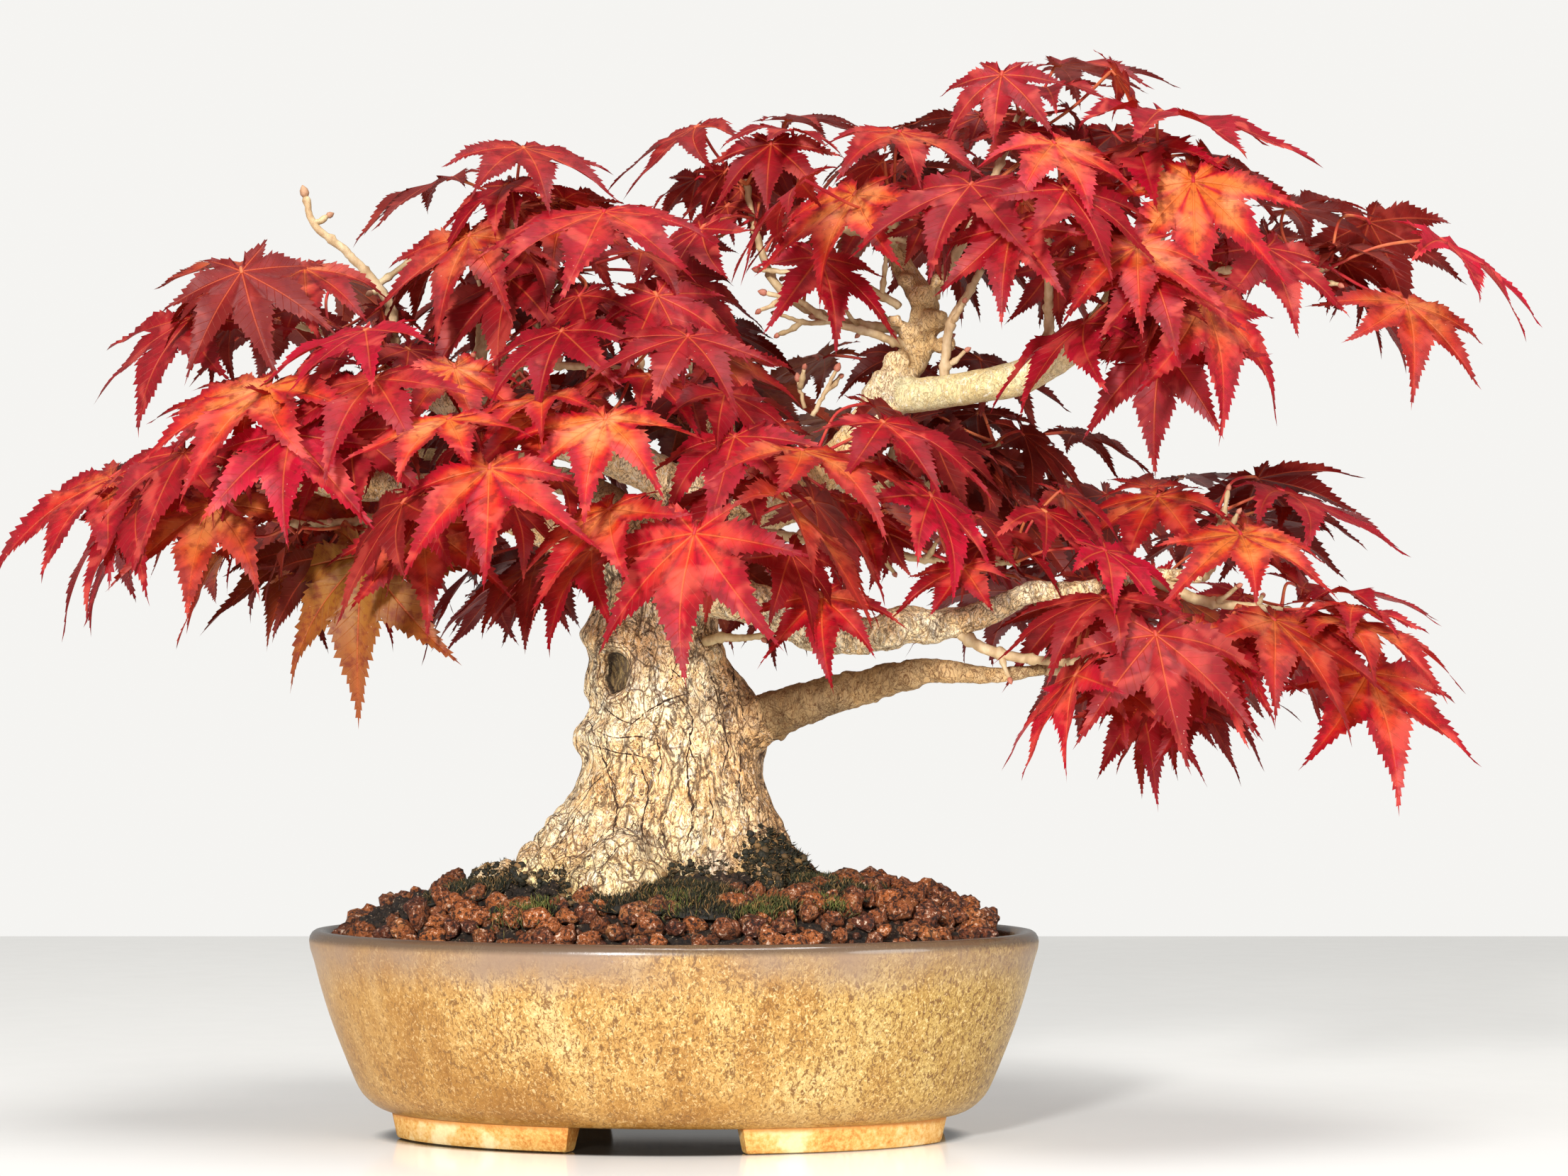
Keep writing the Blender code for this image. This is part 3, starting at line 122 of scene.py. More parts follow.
class Finish:
    # A material, or the world's light, that is put together node by node.

    def __init__(self, name, kind="materials"):
        self.made = getattr(bpy.data, kind).new(name)
        self.made.use_nodes = True
        self.tree = self.made.node_tree
        self.tree.nodes.clear()
        self.here = self.node("ShaderNodeTexCoord", output="Object")

    def node(self, kind, settings=None, inputs=None, output=0):
        made = self.tree.nodes.new(kind)
        for key, value in (settings or {}).items():
            if key == "stops":
                self.setStops(made.color_ramp, value)
            else:
                setattr(made, key, value)
        for key, value in (inputs or {}).items():
            if isinstance(value, Wire):
                self.tree.links.new(value.socket, made.inputs[key])
            elif value is not None:
                made.inputs[key].default_value = value
        return Wire(self, made.outputs[output]) if made.outputs else None

    def setStops(self, ramp, stops):
        while len(ramp.elements) < len(stops):
            ramp.elements.new(0.5)
        for element, (place, colour) in zip(ramp.elements, stops):
            element.position = place
            element.color = (*colour, 1)

    def along(self, axis):
        # The place in the frame on one axis.
        return self.node("ShaderNodeSeparateXYZ", {}, {0: self.here}, axis)

    def vectors(self, operation, inputs, output=0):
        return self.node("ShaderNodeVectorMath", {"operation": operation}, inputs, output)

    def stretched(self, x, y, z, at=None):
        # The place in the frame, scaled on each axis.
        return self.vectors("MULTIPLY", {0: at or self.here, 1: (x, y, z)})

    def noise(self, scale, detail=3, rough=0.55, at=None, bend=0):
        inputs = {"Vector": at or self.here, "Scale": scale, "Detail": detail}
        inputs.update({"Roughness": rough, "Distortion": bend})
        return self.node("ShaderNodeTexNoise", {}, inputs, "Fac")

    def cells(self, scale, feature="F1", at=None):
        inputs = {"Vector": at or self.here, "Scale": scale}
        return self.node("ShaderNodeTexVoronoi", {"feature": feature}, inputs, "Distance")

    def mix(self, first, second, amount):
        settings = {"data_type": "RGBA", "blend_type": "MIX"}
        first = (*first, 1) if isinstance(first, tuple) else first
        second = (*second, 1) if isinstance(second, tuple) else second
        return self.node("ShaderNodeMix", settings, {0: amount, 6: first, 7: second}, 2)

    def ramp(self, value, stops):
        return self.node("ShaderNodeValToRGB", {"stops": stops}, {"Fac": value})

    def mood(self, name):
        # The three numbers that a mesh carries under this name.
        carried = self.node("ShaderNodeAttribute", {"attribute_name": name}, output="Vector")
        return [self.node("ShaderNodeSeparateXYZ", {}, {0: carried}, axis) for axis in "XYZ"]

    def bump(self, height, strength, distance):
        inputs = {"Height": height, "Strength": strength, "Distance": distance * mm}
        return self.node("ShaderNodeBump", {}, inputs)

    def surface(self, inputs, glowColour=None, glowShare=0):
        shader = self.node("ShaderNodeBsdfPrincipled", {}, inputs)
        if glowColour:
            glow = self.node("ShaderNodeBsdfTranslucent", {}, {"Color": (*glowColour, 1)})
            shader = self.node("ShaderNodeMixShader", {}, {0: glowShare, 1: shader, 2: glow})
        self.node("ShaderNodeOutputMaterial", {}, {"Surface": shader})
        return self.made


# Mesh helpers.

def makePiece(name, points, faces, finish, slotName, replaced=(), moods=None, smooth=180):
    mesh = bpy.data.meshes.new(name)
    mesh.from_pydata([tuple(p) for p in points], [], [tuple(f) for f in faces])
    mesh.update()
    mesh.shade_smooth()
    if smooth < 180:
        mesh.set_sharp_from_angle(angle=math.radians(smooth))
    for key, values in (moods or {}).items():
        layer = mesh.attributes.new(key, "FLOAT_VECTOR", "POINT")
        layer.data.foreach_set("vector", np.asarray(values, np.float32).ravel())
    return settle(bpy.data.objects.new(name, mesh), finish, replaced)


def settle(made, finish, replaced=()):
    # Links a piece, gives it its finish, and has it ride on the tree.
    if made.name not in bpy.context.scene.objects:
        bpy.context.scene.collection.objects.link(made)
    made.data.materials.clear()
    made.data.materials.append(finish)
    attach(made, "root")
    if replaced:
        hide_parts(*replaced)
    return made


def bakeModifiers(made):
    # The mesh as its modifiers leave it.
    bpy.context.view_layer.update()
    shape = made.evaluated_get(bpy.context.evaluated_depsgraph_get())
    mesh = bpy.data.meshes.new_from_object(shape)
    bpy.data.objects.remove(made)
    return mesh


def looseObject(name, points, faces):
    mesh = bpy.data.meshes.new(name)
    mesh.from_pydata([tuple(p) for p in points], [], [tuple(f) for f in faces])
    made = bpy.data.objects.new(name, mesh)
    bpy.context.scene.collection.objects.link(made)
    return made


def skinOver(rings, capLow=True, capHigh=True):
    # A skin over rings that have the same number of points.
    count = len(rings[0])
    points = [p for ring in rings for p in ring]
    faces = []
    for level in range(len(rings) - 1):
        base = level * count
        for i in range(count):
            j = (i + 1) % count
            faces.append((base + i, base + j, base + count + j, base + count + i))
    if capLow:
        faces.append(tuple(reversed(range(count))))
    if capHigh:
        faces.append(tuple(range((len(rings) - 1) * count, len(rings) * count)))
    return points, faces


class Heap:
    # Collects shapes that become one piece.

    def __init__(self):
        self.points = []
        self.faces = []
        self.moods = []

    def add(self, points, faces, mood=None):
        base = len(self.points)
        self.points.extend(points)
        self.faces.extend(tuple(i + base for i in face) for face in faces)
        if mood is not None:
            several = len(mood) == len(points) and not np.isscalar(mood[0])
            self.moods.extend(mood if several else [mood] * len(points))


def smoothRoute(points, step):
    # Points about one step apart on a smooth curve through the route's own points.
    points = [np.array(p, float) for p in points]
    padded = [2 * points[0] - points[1]] + points + [2 * points[-1] - points[-2]]
    out = []
    for a, b, c, d in zip(padded, padded[1:], padded[2:], padded[3:]):
        count = max(1, round(float(np.linalg.norm(c[:3] - b[:3])) / step))
        for i in range(count):
            t = i / count
            straight = (c - a) * t
            square = (2 * a - 5 * b + 4 * c - d) * t**2
            cube = (3 * b - a - 3 * c + d) * t**3
            out.append(0.5 * (2 * b + straight + square + cube))
    out.append(points[-1])
    return out


def tubeSkin(path, radii, sides):
    # A tube along points in millimetres; the skin's points are in metres in the frame.
    path = [Vector(p) for p in path]
    side = None
    rings = []
    for i, place in enumerate(path):
        tangent = (path[min(i + 1, len(path) - 1)] - path[max(i - 1, 0)]).normalized()
        if side is None:
            side = tangent.orthogonal().normalized()
        side = (side - tangent * side.dot(tangent)).normalized()
        over = tangent.cross(side)
        ring = []
        for k in range(sides):
            angle = math.tau * k / sides
            offset = side * math.cos(angle) + over * math.sin(angle)
            ring.append(fromPot(*(place + offset * radii[i])))
        rings.append(ring)
    return skinOver(rings)


# Camera, floor and light.

studio = {
    "cameraPlace": (30.4, -952, 114.8),
    "cameraPitch": 2.09,
    "lens": 79.5,
    "tableLeftRight": 1400,
    "tableNear": -1500,
    "tableFar": 846,
    "backdrop": (1.0, 0.99, 0.965),
    "backdropSeen": 0.915,
    "backdropGlow": 0.32,
    # half-length and half-depth of the oval of painted shadow under the pot, in metres
    "paintedShadowOval": (0.0785, 0.0465),
    "lights": {
        "frontKey": {"place": (-900, -3050, 1150), "aim": (0, 0, 130), "size": 420, "watts": 131},
        "topSoft": {"place": (250, -700, 2800), "aim": (10, 0, 100), "size": 1500, "watts": 62},
        "rightFill": {"place": (2400, -1900, 900), "aim": (20, 0, 130), "size": 1500, "watts": 31},
    },
}


def makeCamera():
    lens = bpy.data.cameras.new("viewpoint")
    lens.lens = studio["lens"]
    lens.sensor_width = 36
    lens.clip_start = 0.05
    lens.clip_end = 20
    made = bpy.data.objects.new("viewpoint", lens)
    bpy.context.scene.collection.objects.link(made)
    made.location = fromPot(*studio["cameraPlace"])
    made.rotation_euler = (math.radians(90 + studio["cameraPitch"]), 0, 0)
    bpy.context.scene.camera = made


def makeLights():
    for name, spec in studio["lights"].items():
        lamp = bpy.data.lights.new(name, "AREA")
        lamp.shape = "DISK"
        lamp.size = spec["size"] * mm
        lamp.energy = spec["watts"]
        made = bpy.data.objects.new(name, lamp)
        bpy.context.scene.collection.objects.link(made)
        made.location = fromPot(*spec["place"])
        aim = fromPot(*spec["aim"]) - made.location
        made.rotation_euler = aim.to_track_quat("-Z", "Y").to_euler()


def makeSurroundings():
    # A pale backdrop that looks brighter than the light it gives.
    white = Finish("studioWhite", "worlds")
    seen = white.node("ShaderNodeLightPath", output="Is Camera Ray")
    glow, shown = studio["backdropGlow"], studio["backdropSeen"]
    inputs = {"Color": (*studio["backdrop"], 1), "Strength": glow + (shown - glow) * seen}
    light = white.node("ShaderNodeBackground", {}, inputs)
    white.node("ShaderNodeOutputWorld", {}, {"Surface": light})
    bpy.context.scene.world = white.made


def tableFinish():
    finish = Finish("polishedTable")
    cloudy = finish.noise(3, 2)
    colour = finish.mix((0.90, 0.885, 0.845), (0.94, 0.93, 0.90), cloudy)
    fine = finish.noise(60, 3)
    # Painted shadow where the pot stands: an oval of the floor under the pot is painted near-black,
    # and the floor's glow is dimmed there with it.
    length, depth = studio["paintedShadowOval"]
    place = finish.vectors("SUBTRACT", {0: finish.here, 1: potMiddle})
    away = finish.stretched(1 / length, 1 / depth, 0, place)
    paintedShadow = finish.vectors("LENGTH", {0: away}, "Value").step(1.06, 0.96)
    colour = finish.mix(colour, (0.030, 0.024, 0.018), paintedShadow)
    return finish.surface(
        {
            "Base Color": colour,
            "Roughness": 0.09 + 0.05 * fine,
            "IOR": 1.5,
            "Emission Color": colour,
            "Emission Strength": 0.19,
        }
    )


def makeTable():
    reach, near, far = studio["tableLeftRight"], studio["tableNear"], studio["tableFar"]
    corners = [(-reach, near, 0), (reach, near, 0), (reach, far, 0), (-reach, far, 0)]
    made = looseObject("table", [fromPot(*c) for c in corners], [(0, 1, 2, 3)])
    made.data.materials.append(tableFinish())


makeCamera()
makeLights()
makeSurroundings()
makeTable()
bpy.context.scene.view_settings.view_transform = "Standard"
print("camera, light and table")


# The pot.

pot = {
    "halfLength": 100,
    "halfDepth": 68,
    "segments": 240,
    "outside": (  # inset from the rim and height, from the middle of the floor out and up to the lip
        (46, 6.8), (30, 6.8), (23, 6.8), (20.6, 7.1), (18, 8.4), (15.6, 10.5), (13.6, 13.2),
        (10.6, 20), (6.3, 31), (3.4, 40), (1.4, 47.5), (0.3, 51), (0, 53), (0.2, 54.3), (0.8, 55.3),
        (1.6, 55.85), (2.6, 56),
    ),
    "inside": (  # and from the lip down and in again
        (3.6, 55.85), (4.6, 55.2), (5.25, 54), (5.6, 52), (8.2, 43), (11.7, 31), (16, 21),
        (20.1, 13.4), (23, 12.4), (46, 12.4),
    ),
    "footSpan": (16, 73.5),
    "footTop": (21, 30, 9.6),  # outer inset, inner inset, height
    "footBottom": (22.6, 28.4, 0),
    "footSteps": 34,
    "footCorner": 1.1,
    "footEndBevel": 0.5,
    "footEndLean": 1.4,
    "drainHole": (42, 7),
    "wireHole": (20, 24, 2.4),
}


def ovalRing(inset, z, count):
    length, depth = pot["halfLength"] - inset, pot["halfDepth"] - inset
    angles = [math.tau * i / count for i in range(count)]
    return [alongPot(length * math.cos(a), depth * math.sin(a), z) for a in angles]


def drillPot(target):
    # The drain and wire holes in the pot's floor.
    cutters = []
    place, radius = pot["drainHole"]
    wireX, wireY, wireRadius = pot["wireHole"]
    drains = [(side * place, 0, radius) for side in (1, -1)]
    wires = [(side * wireX, wireY, wireRadius) for side in (1, -1)]
    angles = [math.tau * i / 40 for i in range(40)]
    for x, y, size in drains + wires:
        circle = [(x + size * math.cos(a), y + size * math.sin(a)) for a in angles]
        rings = [[alongPot(*spot, z) for spot in circle] for z in (2, 20)]
        cutter = looseObject("drill", *skinOver(rings))
        cut = target.modifiers.new("drill", "BOOLEAN")
        cut.object = cutter
        cutters.append(cutter)
    return cutters


def glazeFinish():
    finish = Finish("ochreGlaze")
    height = finish.along("Z")
    across = finish.along("X") - potMiddle.x
    runs = finish.noise(60, 4, 0.6, finish.stretched(1, 1, 0.6), 0.5)
    blotch = finish.noise(22, 3, 0.5)
    speckle = finish.noise(1150, 3, 0.65, finish.stretched(1, 1, 0.7), 1.2)
    strokes = finish.noise(620, 3, 0.6, finish.stretched(1, 1, 0.5), 1.8)
    colour = finish.ramp(
        runs * 0.7 + blotch * 0.3,
        (
            (0.38, (0.310, 0.140, 0.026)),
            (0.46, (0.420, 0.215, 0.048)),
            (0.54, (0.520, 0.300, 0.085)),
            (0.64, (0.640, 0.420, 0.165)),
        ),
    )
    # Smooth caramel towards the left and the foot of the wall, olive towards the right.
    left = (across + 0.12 * (blotch - 0.5)).step(-0.030, -0.095)
    low = (height + 0.03 * (blotch - 0.5)).step(0.024, 0.008)
    plain = (left * 0.75 + low * 0.45).clamp()
    olive = (across + 0.10 * (runs - 0.5)).step(0.010, 0.080)
    colour = finish.mix(colour, (0.400, 0.300, 0.075), olive * 0.45)
    colour = finish.mix(colour, (0.300, 0.130, 0.018), plain * 0.70)
    grain = speckle.step(0.50, 0.36) * (1 - 0.7 * plain)
    colour = finish.mix(colour, (0.190, 0.080, 0.014), grain * 0.85)
    stroke = strokes.step(0.48, 0.37) * (0.95 - 0.6 * plain)
    colour = finish.mix(colour, (0.160, 0.068, 0.014), stroke)
    glint = speckle.step(0.54, 0.66) * (0.60 - 0.45 * plain)
    colour = finish.mix(colour, (0.900, 0.660, 0.320), glint)
    # A mauve-grey cast under the lip, uneven along it, and the dark edge where the glaze ran thin.
    lipBand = (height + 0.014 * (runs - 0.5)).step(0.040, 0.052)
    cast = lipBand * (0.20 + 0.75 * blotch.step(0.40, 0.64))
    colour = finish.mix(colour, (0.270, 0.175, 0.115), cast)
    edge = height.step(0.0525, 0.0545)
    colour = finish.mix(colour, (0.105, 0.066, 0.040), edge * 0.85)
    relief = runs * 0.3 + speckle * 0.25 + finish.noise(240, 2) * 0.35
    gloss = 0.26 + 0.14 * runs + 0.12 * speckle - 0.14 * edge
    return finish.surface(
        {
            "Base Color": colour,
            "Roughness": gloss,
            "Specular IOR Level": 0.32,
            "Coat Weight": 0.06 + 0.85 * edge,
            "Coat Roughness": 0.08,
            "Normal": finish.bump(relief, 0.22, 0.5),
        }
    )


def bareClayFinish():
    finish = Finish("bareClay")
    grain = finish.noise(900, 3, 0.7)
    stain = finish.noise(70, 4, 0.6)
    colour = finish.ramp(
        stain * 0.5 + grain * 0.5,
        ((0.38, (0.520, 0.190, 0.026)), (0.48, (0.690, 0.370, 0.090)), (0.62, (0.820, 0.560, 0.230))),
    )
    height = finish.along("Z")
    # Darker orange-brown in a band along the top of each foot, just under the pot.
    topBand = (height + 0.0016 * (stain - 0.5)).step(0.0052, 0.0068)
    colour = finish.mix(colour, (0.500, 0.190, 0.035), topBand * 0.8)
    colour = finish.mix(colour, (0.900, 0.740, 0.430), stain.step(0.52, 0.64) * (1 - topBand) * 0.6)
    normal = finish.bump(grain, 0.35, 0.3)
    return finish.surface({"Base Color": colour, "Roughness": 0.62 + 0.2 * grain, "Normal": normal})


def footSection(angle, trim):
    # One section across a foot, its corners rounded, at an angle round the oval.
    outTop, inTop, high = pot["footTop"]
    outLow, inLow, low = pot["footBottom"]
    corner = pot["footCorner"]
    outline = [
        (outTop, high), (outLow - 0.1, low + corner), (outLow + 0.25, low + 0.35),
        (outLow + corner, low), (inLow - corner, low),
        (inLow - 0.25, low + 0.35), (inLow + 0.1, low + corner), (inTop, high),
    ]
    ring = []
    for inset, z in outline:
        lean = angle + trim * (1 - z / high)
        ring.append(
            alongPot(
                (pot["halfLength"] - inset) * math.cos(math.radians(lean)),
                (pot["halfDepth"] - inset) * math.sin(math.radians(lean)),
                z,
            )
        )
    return ring


def makeFeet():
    heap = Heap()
    low, high = pot["footSpan"]
    steps, endBevel = pot["footSteps"], pot["footEndBevel"]
    for start in (low, 180 - high, 180 + low, 360 - high):
        span = high - low
        rings = []
        for i in range(steps + 1):
            share = i / steps
            trim = pot["footEndLean"] * (1 - 2 * share)
            rings.append(footSection(start + endBevel + (span - 2 * endBevel) * share, trim))
        middleLow = sum(rings[0], Vector()) / len(rings[0])
        middleHigh = sum(rings[-1], Vector()) / len(rings[-1])
        outward = (rings[0][0] - rings[1][0]).normalized() * endBevel * mm
        rings.insert(0, [p.lerp(middleLow, 0.08) + outward for p in rings[0]])
        outward = (rings[-1][0] - rings[-2][0]).normalized() * endBevel * mm
        rings.append([p.lerp(middleHigh, 0.08) + outward for p in rings[-1]])
        heap.add(*skinOver(rings))
    made = makePiece("pot_feet", heap.points, heap.faces, bareClayFinish(), "glazed_pot", smooth=40)
    faceOut(made.data)
    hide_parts("pot")


def faceOut(mesh):
    work = bmesh.new()
    work.from_mesh(mesh)
    bmesh.ops.recalc_face_normals(work, faces=work.faces)
    work.to_mesh(mesh)
    work.free()


def makePot():
    outside = smoothRoute([(inset, 0, z) for inset, z in pot["outside"]], 1.6)
    inside = smoothRoute([(inset, 0, z) for inset, z in pot["inside"]], 2.2)
    rings = [ovalRing(p[0], p[2], pot["segments"]) for p in outside + inside]
    blank = looseObject("pot_blank", *skinOver(rings))
    cutters = drillPot(blank)
    mesh = bakeModifiers(blank)
    for cutter in cutters:
        bpy.data.objects.remove(cutter)
    mesh.shade_smooth()
    mesh.set_sharp_from_angle(angle=math.radians(50))
    mesh.name = "pot_glazed_body"
    settle(bpy.data.objects.new("pot_glazed_body", mesh), glazeFinish(), ("pot",))
    makeFeet()


makePot()
print("pot and feet")


# Under the soil: the CAD pieces stay, with their own finishes.

def plasticFinish():
    finish = Finish("meshPlastic")
    grain = finish.noise(700, 2)
    scuff = finish.noise(90, 4, 0.7)
    colour = finish.mix((0.012, 0.013, 0.014), (0.06, 0.06, 0.055), scuff.step(0.5, 0.75))
    normal = finish.bump(grain, 0.2, 0.1)
    return finish.surface({"Base Color": colour, "Roughness": 0.42 + 0.3 * grain, "Normal": normal})


def wireFinish():
    finish = Finish("annealedWire")
    drawn = finish.noise(1200, 2)
    tarnish = finish.noise(220, 4, 0.65)
    colour = finish.mix((0.42, 0.20, 0.10), (0.16, 0.075, 0.04), tarnish.step(0.4, 0.7))
    return finish.surface(
        {
            "Base Color": colour,
            "Metallic": 0.9,
            "Roughness": 0.32 + 0.25 * tarnish,
            "Normal": finish.bump(drawn, 0.15, 0.05),
        }
    )


def pumiceFinish():
    finish = Finish("coarsePumice")
    lumps = finish.cells(170)
    pores = finish.noise(800, 4, 0.7)
    tint = finish.noise(140, 1)
    colour = finish.mix((0.30, 0.25, 0.19), (0.66, 0.60, 0.50), tint)
    # Painted shade: near-black in the hollows between the lumps.
    colour = finish.mix(colour, (0.05, 0.04, 0.03), lumps.step(0.45, 0.8))
    normal = finish.bump(1 - lumps + 0.25 * pores, 1, 2)
    return finish.surface({"Base Color": colour, "Roughness": 0.95, "Normal": normal})


def finishHiddenPieces():
    plastic, wire, pumice = plasticFinish(), wireFinish(), pumiceFinish()
    finishes = {
        "drain_screen_left": plastic,
        "drain_screen_right": plastic,
        "screen_clip_left": wire,
        "screen_clip_right": wire,
        "anchor_wire": wire,
        "drainage_layer": pumice,
    }
    for name, finish in finishes.items():
        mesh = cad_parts[name].data
        mesh.materials.clear()
        mesh.materials.append(finish)


finishHiddenPieces()
print("screens, clips, wire and pumice")


# The wood: trunk and limbs as one grown skin.

wood = {
    "voxel": 0.8,
    "trunkSides": 72,
    "trunkStep": 2,
    "limbSides": 18,
    "trunkShare": 1.15,  # limbs count as trunk out to this many trunk radii
    "knotPlace": (-15.0, -15.5, 126),
    "knotRadius": 8.2,
    "crustPlace": (17, 139),  # x and z of a rough brown patch, and its reach
    "crustReach": (7, 5),
    "trunkSections": (  # height, middle x and y, half-width and half-depth
        (40, -5, 0, 26, 20), (45, -7, 0, 40, 31), (54, -8, 0, 46, 37), (62, -8, 0, 45, 36),
        (67, -7.5, 0, 42.5, 34.5), (72, -6, 0, 39.5, 32), (78, -4.5, 0, 35.5, 29.5),
        (87, -3.1, 0, 30.8, 26.5), (95, -0.8, 0, 26, 24.2), (102, 0, 0, 24.4, 23),
        (110, -0.5, 0, 25.3, 22), (119, 0, 0, 22.8, 21), (128, -4, 0, 20.6, 19.5),
        (138, -6.6, 0, 19, 18), (146, -5, 0, 17, 16.5), (156, -3, 0, 15, 14.5), (165, 0, 1, 13, 13),
        (175, 6, 2, 10.5, 10.5), (184, 9.5, 2, 8.5, 8.5), (193, 10.5, 2, 6.5, 6.5),
        (200, 11, 2, 5.2, 5.2), (202, 11, 2, 3.4, 3.4),
    ),
}

rootToes = (  # knobs and surface roots at the foot, each a chain of x, y, z and radius
    ((-14, -27, 80, 8), (-14, -33, 74, 8.5), (-14, -38, 69, 7.5), (-13, -42, 64, 5)),
    ((-20, -30, 72, 7), (-22, -36, 68, 6), (-23, -40, 63, 4)),
    ((-7, -30, 72, 6.5), (-5, -36, 67, 5.5)),
    ((-32, -20, 74, 8), (-39, -24, 68, 6.5)),
    ((-42, -8, 70, 6.5), (-50, -9, 66.5, 5), (-56, -12, 63, 3)),
    ((24, -18, 69, 5), (25.5, -27, 72, 3.6), (27, -32, 71.5, 3.2), (29, -37, 66, 2.2)),
    ((30, 4, 70, 6), (39, 8, 66, 4.5)),
    ((-20, 28, 70, 6), (-25, 35, 65, 4.5)),
    ((10, 27, 70, 6), (14, 34, 65, 4.5)),
)

crownKnobs = (  # swellings where the crown forks: x, y, z and radius
    (68.2, -4, 229.7, 4.2), (71.5, -4, 222.9, 4.4), (66, -3, 219, 4.6), (60.4, -5, 222.9, 2.4),
    (74.5, -6, 216, 3.4), (59.3, -7, 205.1, 5.6), (56.2, -6, 202.4, 5.0), (64.3, -3, 234.1, 3.0),
    (73.5, -4, 234, 2.8), (61.5, -7, 211, 4.4), (102, -20, 209.5, 5.1), (124, -26, 233, 4.6),
    (128, -26, 237, 3.6), (62, -28, 138.8, 6.0), (58, -30, 136, 5.2),
)

barkCracks = (  # across the front of the trunk: half-width, then x and z along the crack
    (0.42, (-24, 116), (-20, 107), (-17, 99), (-14, 93)),
    (0.38, (-16, 97), (-14.5, 90), (-15, 82)),
    (0.50, (-9, 103), (-6, 94), (-7.5, 86), (-7, 80)),
    (0.36, (-5, 112), (-2.5, 104), (-3.5, 97)),
    (0.52, (5, 108), (4.5, 98), (6, 88), (3.5, 77)),
    (0.42, (2, 120), (6, 113), (5, 107), (7, 101)),
    (0.46, (10, 127), (13, 117), (15, 107), (14, 98)),
    (0.36, (15.5, 133), (17, 123), (20, 113)),
    (0.40, (19, 104), (18.5, 96), (20, 88)),
    (0.34, (-21, 110.5), (-15, 108.5), (-8, 108.8), (-2, 106.5)),
    (0.38, (-23, 107), (-15, 104.6), (-9, 103.8), (-3, 102)),
    (0.42, (-12, 111), (-5, 116.5), (0, 119), (5, 120.5)),
    (0.30, (-20, 118), (-14, 113.5), (-9, 112)),
    (0.32, (-17.5, 111), (-17, 106), (-17.5, 102)),
    (0.32, (-12.5, 110), (-12, 104.5), (-12.6, 99)),
    (0.32, (-8, 109.5), (-7.4, 104.5)),
    (0.30, (-25, 92), (-21, 96), (-17, 99.5)),
    (0.34, (-31, 78), (-27, 85), (-24, 90)),
    (0.30, (-18, 74), (-13, 80), (-9, 83)),
    (0.30, (-26, 76), (-20, 80.5), (-14, 86)),
    (0.34, (0, 76), (-2, 83), (-1, 90)),
    (0.34, (10, 80), (11.5, 88), (10, 96)),
    (0.32, (-1, 128), (3, 124), (5.5, 119)),
    (0.30, (2, 133), (1, 127), (-2, 121)),
    (0.34, (-24.5, 131), (-22.5, 124), (-23, 118)),
)

